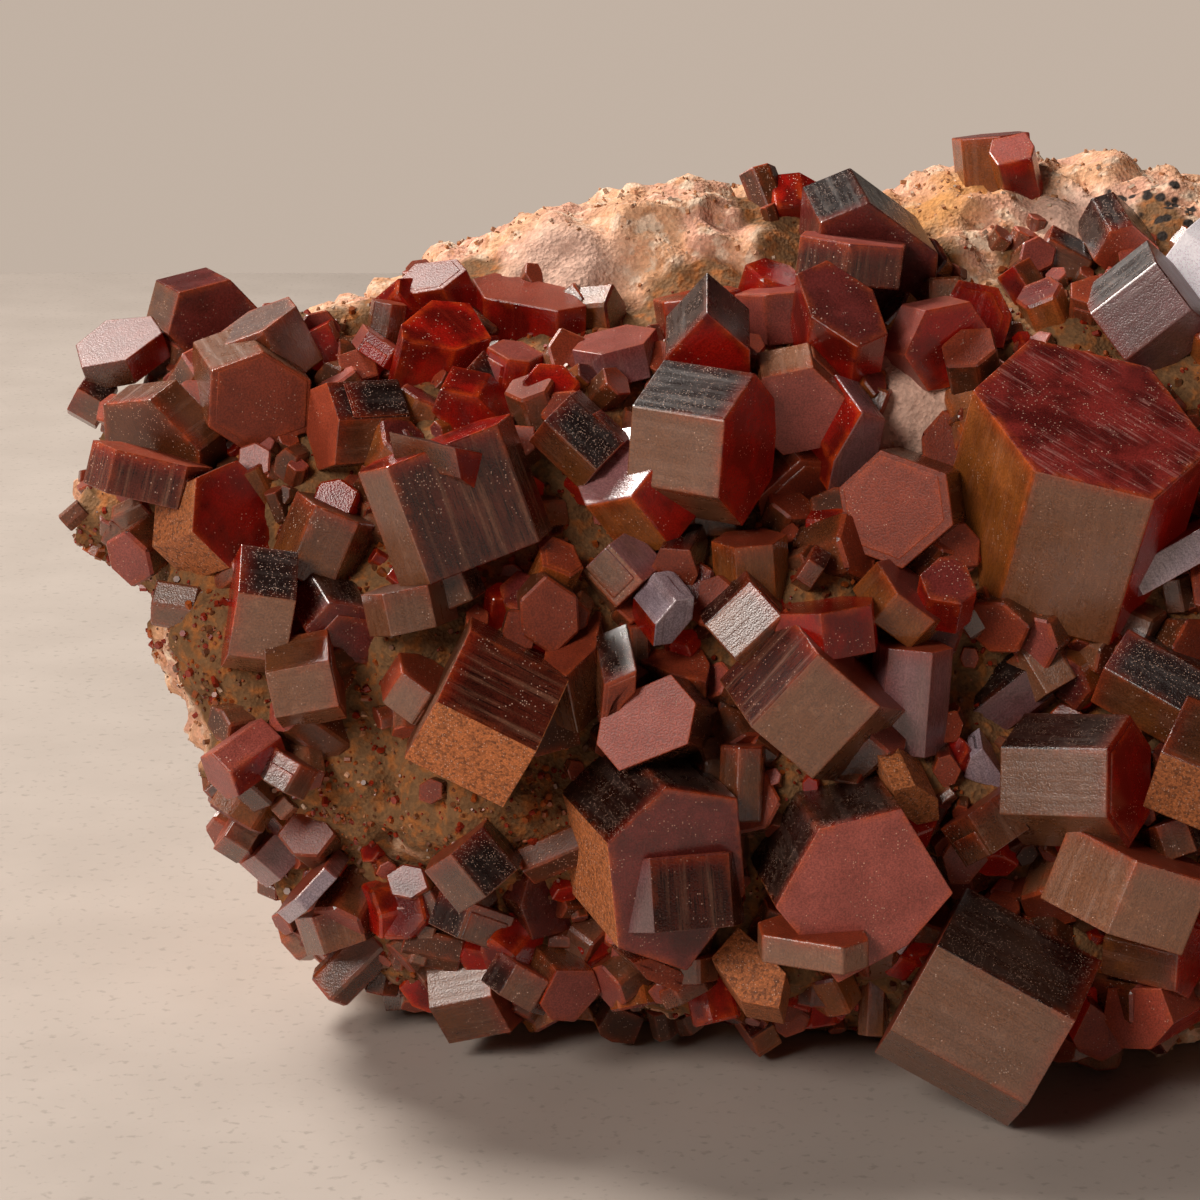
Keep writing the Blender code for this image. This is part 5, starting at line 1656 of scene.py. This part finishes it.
UPPER_RIGHT = (
    Drawing("blurred_red", [(770, 225), (775, 207), (805, 204), (825, 215)], (772, 190), lean=0.85,
            length=5, look=Look(GLOW, GLOW, GLOW, tint=0.7)),
    Drawing("maroon_crown", [(820, 223), (869, 203), (938, 254), (934, 300)], (862, 190), lean=0.93,
            length=9, near=6, look=Look(MAROON, MAROON)),
    Drawing("bar_over_crown", [(800, 231), (851, 245), (902, 251)], (846, 287), lean=0.08, near=11,
            look=Look(MAUVE, STREAKED, GLOSSY, tint=0.7)),
    Drawing("dark_under_crown", [(811, 318), (857, 348), (888, 334)], (852, 380), near=6,
            look=Look(MAROON, GLOW, tint=0.35)),
    Drawing("mauve_and_red", [(925, 311), (904, 356), (928, 392)], (880, 349),
            look=Look(GLOW, MAUVE, MAUVE, tint=0.4)),
    Drawing("dark_sparkle", [(945, 303), (967, 349), (1003, 348), (1012, 316), (998, 288), (958, 280)],
            (963, 380), look=Look(GLOW, MAROON, tint=0.4)),
    Drawing("slanted_box", [(990, 287), (1002, 279), (1014, 258)], (1040, 338), lean=-0.1,
            look=Look(BRICK, GLOW, SATIN)),
    Drawing("brown_soft", [(1035, 262), (1048, 238)], (1092, 262)),
    Drawing("pink_small", [(1070, 283), (1095, 275), (1120, 282)], (1092, 300), lean=0.6, length=4),
    Drawing("grey_top_right", [(1093, 262), (1110, 232), (1132, 225), (1159, 249), (1150, 275),
            (1118, 282)], (1100, 215), lean=0.85, length=6),
    Drawing("dark_striped", [(1078, 322), (1125, 353), (1160, 385)], (1190, 303), lean=-0.15, near=1,
            look=Look(BRICK, GLOSSY)),
    Drawing("white_mirror", [(1148, 271), (1183, 234)], (1240, 275), lean=-0.1, near=3,
            look=Look(GLARE, GLARE, GLARE)),
    Drawing("largest", [(972, 390), (1034, 471), (1154, 500)], (991, 619), near=4,
            look=Look(SCRATCHED, TAN, TAN, left=AMBER, right=GLOW, tint=0.65)),
    Drawing("ridge_prism", [(961, 143), (998, 134), (1030, 132)], (1004, 200), lean=0.05,
            look=Look(MAROON, AMBER, MAUVE, right=GLOW, tint=0.6)),
    Drawing("ridge_box", [(997, 166), (1031, 158), (1034, 146), (1025, 132), (991, 140), (988, 153)],
            (1037, 185), near=7, look=Look(MAUVE, GLOW, MAUVE, left=AMBER)),
)
MIDDLE_LEFT = (
    Drawing("box_left", [(246, 549), (242, 590), (220, 652)], (299, 598), lean=0.08, near=2,
            look=Look(GLOW, TAN, tint=0.6)),
    Drawing("box_lower_left", [(322, 632), (331, 659), (344, 704)], (268, 671), lean=0.12, near=2,
            look=Look(BRICK, TAN, SATIN)),
    Drawing("brown_pair", [(318, 503), (360, 521), (380, 529)], (331, 591), lean=0.15,
            look=Look(BROWN, SATIN, SATIN, tint=0.6)),
    Drawing("olive_square", [(383, 593), (428, 585)], (437, 627), look=Look(BROWN, TAN, SATIN, tint=0.3)),
    Drawing("tan_square", [(430, 573), (458, 563)], (474, 600), near=1),
    Drawing("purple_end", [(305, 630), (330, 603), (372, 610), (392, 638)], (322, 590), lean=0.85,
            length=5, look=Look(MAROON)),
    Drawing("red_topped_cube", [(400, 653), (402, 672), (432, 692)], (382, 703), lean=0.45, near=1,
            look=Look(BRICK, TAN, BRICK)),
    Drawing("streaked_middle", [(470, 631), (437, 702), (404, 757)], (535, 751), lean=0.06, near=4,
            look=Look(BROWN, GRAINED, STREAKED, tint=0.45)),
    Drawing("granular_end", [(497, 668), (526, 649), (574, 681), (581, 745), (537, 757), (492, 728)],
            (500, 640), lean=0.85, length=6, near=3, look=Look(BROWN, GRAINED, tint=0.6)),
)
MIDDLE = (
    Drawing("small_orange_end", [(543, 566), (571, 577), (584, 568), (574, 545), (553, 536),
            (540, 548)], (556, 608), look=Look(BRICK, AMBER, BRICK)),
    Drawing("lilac_slant", [(616, 607), (645, 584), (665, 562)], (611, 547), lean=0.1, near=1,
            look=Look(BRICK, TAN, GLOSSY, right=GLOSSY)),
    Drawing("brown_round", [(655, 595), (650, 570), (660, 548), (690, 550), (698, 575), (690, 592)],
            (655, 560), lean=0.9, length=5),
    Drawing("dark_corner", [(548, 632), (578, 604), (602, 612)], (590, 660), lean=0.5, length=5),
    Drawing("small_dark", [(610, 625), (625, 618), (640, 628)], (626, 655), lean=0.3),
    Drawing("bluish_mirror", [(655, 625), (676, 600), (695, 597)], (668, 590), lean=0.75, length=4,
            near=1, look=Look(MIRROR, GLOW, MIRROR)),
    Drawing("dark_topped", [(640, 660), (672, 674), (706, 682), (710, 663), (700, 645), (665, 640)],
            (672, 700), length=5),
    Drawing("salmon_end", [(671, 674), (696, 703), (688, 744), (619, 771), (596, 744), (603, 702)],
            (731, 711), near=4, look=Look(SALMON)),
    Drawing("dark_behind_salmon", [(600, 726), (604, 684), (637, 670), (636, 690), (622, 704),
            (613, 728)], (600, 664), lean=0.8, length=6, near=5),
    Drawing("striped_slab", [(787, 612), (815, 655), (883, 700)], (748, 727), lean=0.18, near=4,
            look=Look(BRICK, TAN, STREAKED, tint=0.55)),
    Drawing("dark_glitter_top", [(742, 590), (780, 611), (818, 632)], (733, 655), lean=0.1, near=2),
    Drawing("red_behind_slab", [(770, 601), (825, 613), (868, 618)], (830, 660), lean=0.15, near=1,
            look=Look(GLOW, GLOW, SATIN)),
    Drawing("red_right_end", [(765, 541), (758, 498), (801, 460)], (742, 480), near=1,
            look=Look(BRICK, SATIN, SATIN, right=GLOW, tint=0.35)),
    Drawing("big_red_end", [(880, 450), (946, 474), (953, 525), (902, 569), (848, 549), (838, 488)],
            (968, 468), length=6, near=4, look=Look(BRICK, SATIN, SATIN, tint=0.55)),
    Drawing("lilac_wedge", [(833, 462), (862, 412), (886, 420), (880, 450)], (855, 402), lean=0.7,
            length=5, look=Look(GLOSSY, GLOW, GLOSSY)),
    Drawing("brown_box", [(880, 561), (892, 597), (938, 617)], (866, 625), lean=0.3, near=1,
            look=Look(MAUVE, AMBER, AMBER, tint=0.4)),
    Drawing("red_small_end", [(928, 598), (961, 604), (977, 591), (965, 562), (940, 556), (919, 575)],
            (955, 635), near=2, look=Look(MAROON, GLOW, MAUVE, tint=0.6)),
    Drawing("grey_cube", [(792, 575), (810, 558)], (826, 568)),
    Drawing("orange_box", [(712, 541), (734, 549), (772, 543)], (738, 612), lean=0.25, near=1,
            look=Look(BRICK, AMBER, BRICK, tint=0.7)),
    Drawing("olive_back", [(692, 510), (735, 505)], (735, 535)),
    Drawing("lilac_bar", [(873, 645), (888, 648), (932, 650), (953, 646)], (880, 753), lean=0.2, near=3,
            look=Look(BRICK, GLOSSY, GLOSSY, tint=0.6)),
    Drawing("glint_box", [(957, 690), (965, 720), (983, 748)], (1030, 670), lean=-0.05, near=2,
            look=Look(BRICK, GLOSSY)),
    Drawing("grey_bar", [(1018, 648), (1048, 634)], (1074, 678), lean=-0.1,
            look=Look(BROWN, TAN, TAN, tint=0.4)),
    Drawing("red_sided_box", [(1125, 718), (1107, 748), (1112, 815)], (1001, 745), near=4,
            look=Look(GLOW, TAN)),
    Drawing("mirror_right", [(1142, 588), (1215, 556)], (1200, 530), lean=-0.1,
            look=Look(BRICK, MIRROR, MIRROR)),
    Drawing("dark_topped_right", [(1120, 626), (1106, 666), (1093, 706)], (1235, 738), lean=-0.15,
            near=4, look=Look(GLOW, tint=0.55)),
    Drawing("granular_right", [(1128, 716), (1152, 800)], (1225, 830), lean=-0.1, near=2,
            look=Look(BRICK, GRAINED, SATIN, tint=0.4)),
    Drawing("mauve_dot", [(932, 772), (938, 758), (950, 754), (961, 770)], (936, 750), lean=0.9,
            length=3),
    Drawing("white_glitter", [(963, 777), (970, 757), (982, 748), (1002, 776), (1001, 789), (975, 782)],
            (968, 745), lean=0.85, length=3, near=1, look=Look(MIRROR, GLOSSY, MIRROR)),
    Drawing("tan_cube", [(969, 824), (1000, 790)], (1025, 828), near=1),
    Drawing("mauve_hexagon", [(942, 857), (953, 840), (980, 841), (988, 860), (968, 884), (950, 884)],
            (945, 830), lean=0.9, length=4, near=1, look=Look(MAUVE, SATIN, SATIN, tint=0.35)),
    Drawing("rust_knob", [(893, 790), (915, 785), (938, 800)], (908, 770), lean=0.6, length=4,
            look=Look(GRAINED, GRAINED, GRAINED)),
    Drawing("olive_stub", [(735, 755), (760, 745)], (757, 820)),
)
LOWER_LEFT = (
    Drawing("slope_red", [(283, 745), (303, 766)], (287, 795), near=0.5),
    Drawing("pink_edge", [(221, 765), (215, 797), (238, 815)], (229, 787), lean=0.4, length=5,
            look=Look(MAUVE, GLOW, MAUVE, tint=0.7)),
    Drawing("pink_block", [(225, 836), (242, 808)], (266, 823), near=1),
    Drawing("lilac_box", [(253, 853), (280, 828)], (307, 852), lean=0.15, near=1,
            look=Look(BRICK, GLOSSY, GLOSSY, tint=0.7)),
    Drawing("bright_bar", [(294, 898), (325, 866)], (338, 878), near=1, look=Look(BRICK, MIRROR, GLOSSY)),
    Drawing("tan_front", [(312, 912), (355, 903)], (368, 940), near=2),
    Drawing("mauve_below", [(305, 941), (340, 970)], (353, 956)),
    Drawing("long_tan", [(424, 870), (451, 854), (483, 826)], (486, 897), lean=0.12, near=1),
    Drawing("sparkle_box", [(487, 945), (492, 995), (512, 1031)], (430, 1007), near=2,
            look=Look(BRICK, SATIN, TAN)),
    Drawing("tan_slab", [(463, 910), (512, 914)], (499, 949)),
    Drawing("dark_red_block", [(521, 905), (530, 872), (562, 866), (585, 893), (591, 925), (533, 940)],
            (520, 868), lean=0.8, length=6, look=Look(MAROON, SATIN, MAROON, tint=0.3)),
    Drawing("mauve_cube", [(513, 966), (548, 979)], (530, 1010), near=0.5),
    Drawing("mauve_trunk", [(540, 1004), (557, 970), (594, 970), (602, 992), (575, 1022), (552, 1020)],
            (550, 962), lean=0.8, length=5, look=Look(MAUVE, GLOW, SATIN, tint=0.3)),
    Drawing("orange_cube", [(573, 1000), (599, 1008)], (597, 1027), near=0.5,
            look=Look(BRICK, AMBER, SATIN)),
    Drawing("tan_foot", [(598, 1028), (613, 1005), (645, 1018), (634, 1044), (612, 1042), (601, 1036)],
            (606, 990), lean=0.85, length=4, look=Look(BROWN, AMBER)),
    Drawing("olive_flat", [(412, 890), (433, 889)], (446, 916)),
    Drawing("tan_left_foot", [(398, 990), (425, 980)], (432, 1012)),
)
LOWER_MIDDLE = (
    Drawing("big_mauve_end", [(618, 948), (607, 843), (666, 787), (738, 798), (746, 893), (687, 971)],
            (564, 797), near=3, look=Look(MAROON, left=GRAINED, tint=0.75)),
    Drawing("bar_over_mauve", [(618, 862), (650, 858), (728, 849), (740, 850)], (655, 931), lean=0.05,
            near=9, look=Look(BRICK, STREAKED, GLOSSY, left=GLOSSY)),
    Drawing("rose_end", [(775, 907), (818, 829), (901, 808), (953, 893), (908, 945), (838, 983)],
            (784, 774), near=3, look=Look(MAUVE, left=SATIN, tint=0.55)),
    Drawing("plate_over_rose", [(757, 925), (762, 937), (842, 953), (868, 925)], (762, 965), lean=0.4,
            near=7, look=Look(BRICK, TAN, BRICK, tint=0.6)),
    Drawing("white_tip", [(898, 904), (923, 923), (936, 900), (930, 893), (908, 890), (897, 897)],
            (906, 948), lean=0.7, length=4, near=8, look=Look(MIRROR, MIRROR, MIRROR)),
    Drawing("pink_below_mauve", [(633, 962), (650, 958), (681, 971)], (640, 950), lean=0.8, length=4),
    Drawing("pink_cube", [(672, 987), (698, 971)], (708, 990)),
    Drawing("granular_lower", [(711, 957), (741, 1001), (779, 1008), (786, 973), (760, 945),
            (738, 926)], (750, 1028), near=2, look=Look(GRAINED, GRAINED, SATIN)),
    Drawing("dark_foot", [(730, 1018), (752, 1040)], (775, 1025), look=Look(BRICK, AMBER)),
    Drawing("olive_post", [(868, 978), (884, 976)], (882, 1035)),
    Drawing("olive_foot", [(800, 1000), (838, 1005)], (843, 1045)),
)
LOWER_RIGHT = (
    Drawing("bottom_crystal", [(1095, 956), (1078, 1023), (1030, 1105)], (945, 950), lean=-0.07, near=7,
            look=Look(BRICK, TAN, tint=0.4)),
    Drawing("grey_slab", [(1070, 828), (1135, 861), (1210, 878)], (1106, 933), lean=0.15, near=3,
            look=Look(BRICK, TAN, tint=0.8)),
    Drawing("red_sided_slab", [(1195, 925), (1178, 955), (1174, 991)], (1104, 937), near=1,
            look=Look(GLOW, SATIN, SATIN, right=GLOW)),
    Drawing("orange_end", [(1107, 987), (1160, 988), (1173, 1023), (1150, 1049), (1120, 1048),
            (1102, 1018)], (1178, 978), lean=0.85, length=6, look=Look(SALMON, GLOW, SALMON, tint=0.4)),
    Drawing("orange_small", [(1072, 1040), (1090, 1003), (1110, 1018), (1108, 1045), (1092, 1052),
            (1076, 1048)], (1080, 985), lean=0.8, length=4, look=Look(SALMON, GLOW, SALMON)),
    Drawing("mauve_behind", [(1155, 828), (1183, 816)], (1195, 850)),
)


@dataclass
class Specimen:
    """The whole specimen: its stone, its crystals region by region, and its fine crust."""

    heap: Heap = field(default_factory=Heap)
    seed: int = 23
    columns: range = range(1245, 1500, 88)
    rows: range = range(250, 1000, 84)
    scatter: float = 26
    radii: Point = (1.8, 4.8)
    lengths: Point = (0.8, 1.4)
    tumble: float = 0.4

    REGIONS = {
        "upper_left": UPPER_LEFT,
        "upper_middle": UPPER_MIDDLE,
        "upper_right": UPPER_RIGHT,
        "middle_left": MIDDLE_LEFT,
        "middle": MIDDLE,
        "lower_left": LOWER_LEFT,
        "lower_middle": LOWER_MIDDLE,
        "lower_right": LOWER_RIGHT,
    }

    def drawn(self) -> dict[str, list[Prism]]:
        """The drawn crystals of each region."""
        solver = Solver()
        found = {}
        for region, drawings in self.REGIONS.items():
            solved = [solver.rooted(solver.solve(drawing, self.heap), self.heap) for drawing in drawings]
            found[region] = [solver.lifted(prism) for prism in solved]
        return found

    def right_end(self) -> list[Prism]:
        """Crystals scattered over the end that the front view doesn't reach."""
        dice = random.Random(self.seed)
        prisms = []
        for column in self.columns:
            for row in self.rows:
                off = [dice.uniform(-self.scatter, self.scatter) for _ in range(2)]
                hit, normal = self.heap.hit(grid_vector((column + off[0], row + off[1])))
                radius = dice.uniform(*self.radii) * MM
                if hit is None:
                    continue
                lean = Vector([dice.gauss(0, self.tumble) for _ in range(3)])
                outward = (normal + lean).normalized()
                length = radius * dice.uniform(*self.lengths)
                name = f"right_end_{len(prisms) + 1}"
                prisms.append(self.regular(name, hit, outward, radius, length, dice))
        return prisms

    @staticmethod
    def regular(
        name: str, foot: Vector, outward: Vector, radius: float, length: float, dice: random.Random
    ) -> Prism:
        """A regular prism that stands out of a point of the stone by its length."""
        side = outward.orthogonal().normalized()
        side.rotate(Matrix.Rotation(dice.uniform(0, SIXTH), 3, outward))
        other = outward.cross(side)
        centre = foot + outward * length
        ring = []
        for index in range(6):
            angle = index * SIXTH
            ring.append(centre + (side * math.cos(angle) + other * math.sin(angle)) * radius)
        return Prism(name, ring, outward, length + ROOT_DEPTH)

    def taken(self, prisms: list[Prism]) -> Callable[[Vector], bool]:
        """The test whether a place in the record's frame lies inside one of some crystals."""
        reaches = [(prism.centre + TO_RECORD, prism.radius + prism.length, prism) for prism in prisms]

        def inside(place: Vector) -> bool:
            """Whether the place lies inside a crystal."""
            for centre, reach, prism in reaches:
                if (place - centre).length < reach and prism.holds(place - TO_RECORD):
                    return True
            return False

        return inside


def gap_patterns(maker: CrystalMaker) -> list[bpy.types.Object]:
    """Small crystals to copy into the gaps, of radius one and in several finishes."""
    looks = (
        Look(BRICK, SATIN, SPARKLE),
        Look(MAROON, AMBER, SATIN),
        Look(GLOW, GLOW, SATIN),
        Look(BROWN, TAN, SATIN),
        Look(BRICK, TAN, BROWN),
        Look(MAUVE, SATIN, SPARKLE),
        Look(BRICK, BROWN, GLOSSY),
    )
    patterns = []
    for number, look in enumerate(looks):
        length = 0.9 + 0.13 * number
        ring = []
        for index in range(6):
            angle = index * SIXTH
            stretch = 1.0 + 0.12 * math.sin(number + 2 * angle)
            ring.append(Vector((math.cos(angle) * stretch, math.sin(angle) * stretch, length)) * MM)
        prism = Prism(f"gap_pattern_{number}", ring, Vector((0, 0, 1)), (length + 0.6) * MM, look)
        pattern = maker.solid(prism.moved(-TO_RECORD), plain=True)
        pattern.data.transform(Matrix.Scale(1 / MM, 4))
        patterns.append(pattern)
    return patterns


def splinter(name: str, sides: int, kinds: Sequence[int]) -> list[bpy.types.Object]:
    """Unit prisms to copy, with one end drawn in a little.

    Args:
        name: the helpers' name.
        sides: how many sides they have.
        kinds: the material index of each.

    Returns:
        The helpers, which are removed once they are copied.
    """
    helpers = []
    for kind in kinds:
        bpy.ops.mesh.primitive_cylinder_add(vertices=sides, radius=0.5, depth=1.0, location=(0, 0, 0.5))
        helper = bpy.context.object
        helper.name = f"{name}_{kind}"
        Workshop.only(helper)
        bpy.ops.object.transform_apply(location=True)
        for vertex in helper.data.vertices:
            if vertex.co.z > 0.9:
                vertex.co.xy *= 0.94
        for face in helper.data.polygons:
            face.material_index = kind
        helpers.append(helper)
    return helpers


def gap_share(place: Vector, normal: Vector, paints: dict[str, float]) -> float:
    """Gap crystals: close to the large ones, on the front, few on the bare slope."""
    open_to_growth = max(0.0, 1.04 - paints["slope"] - 1.5 * paints["bare"])
    return paints[CRUST] ** 2 * max(0.0, 0.3 - normal.y) * open_to_growth


def crust_share(place: Vector, normal: Vector, paints: dict[str, float]) -> float:
    """Splinters: in the gaps and all over the slope."""
    return max(0.0, paints[CRUST] ** 3 * (1 - 2 * paints["bare"]) + 1.5 * paints["slope"])


def sand_share(place: Vector, normal: Vector, paints: dict[str, float]) -> float:
    """Sand: where nothing has grown."""
    return 1.02 - paints[CRUST]


def main() -> None:
    """Builds the specimen piece by piece, and the studio round it."""
    logging.basicConfig(level=logging.INFO, format="%(message)s")
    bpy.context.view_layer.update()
    specimen = Specimen()
    regions = specimen.drawn()
    regions["right_end"] = specimen.right_end()
    everything = [prism for prisms in regions.values() for prism in prisms]
    nodes = [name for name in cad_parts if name.startswith("crystal_")]
    finishes = [finish.material() for finish in FINISHES]
    maker = CrystalMaker(finishes)
    for region, prisms in regions.items():
        names = {"crystal_" + prism.name for prism in prisms}
        CrystalCluster("crystals_" + region, prisms, [node for node in nodes if node in names]).build(maker)
    patterns = gap_patterns(maker)
    needle = splinter("druse_pattern", 6, (0, 1, 2))
    crumb = splinter("sand_pattern", 4, (0, 1, 2))
    coarse = CoarseStone().build(specimen.heap)
    stone = FineStone().build(coarse, specimen.heap, everything, Sandstone().material())
    taken = specimen.taken(everything)
    gaps = Scatter("gap_crystals", 900, (0.7, 2.6), 31, sunk=0.25, tumble=0.5)
    gaps.build(stone, patterns, SurfacePicker(gap_share, taken), finishes, "vanadinite")
    glassy = [
        Grain("rust_splinters", "#b0561f", 0.35, 1.6).material(),
        Grain("brown_splinters", "#7e4a28", 0.4, 1.6).material(),
        Grain("red_splinters", "#9a2c14", 0.25, 1.6).material(),
    ]
    crust = Scatter("crystal_crust", 5200, (0.15, 0.65), 3)
    crust.build(stone, needle, SurfacePicker(crust_share, taken), glassy, "vanadinite")
    sandy = [
        Grain("peach_sand", "#d8a684", 0.85).material(),
        Grain("pale_sand", "#e2c3a8", 0.8).material(),
        Grain("rust_sand", "#c08458", 0.85).material(),
    ]
    sand = Scatter("sand_grains", 9000, (0.18, 0.5), 4, sunk=0.45, tumble=1.5)
    sand.build(stone, crumb, SurfacePicker(sand_share, lambda place: False), sandy, "matrix")
    for helper in patterns + needle + crumb:
        bpy.data.objects.remove(helper)
    studio = Studio()
    studio.floor()
    studio.lights()
    studio.camera()


if __name__ == "__main__":
    main()
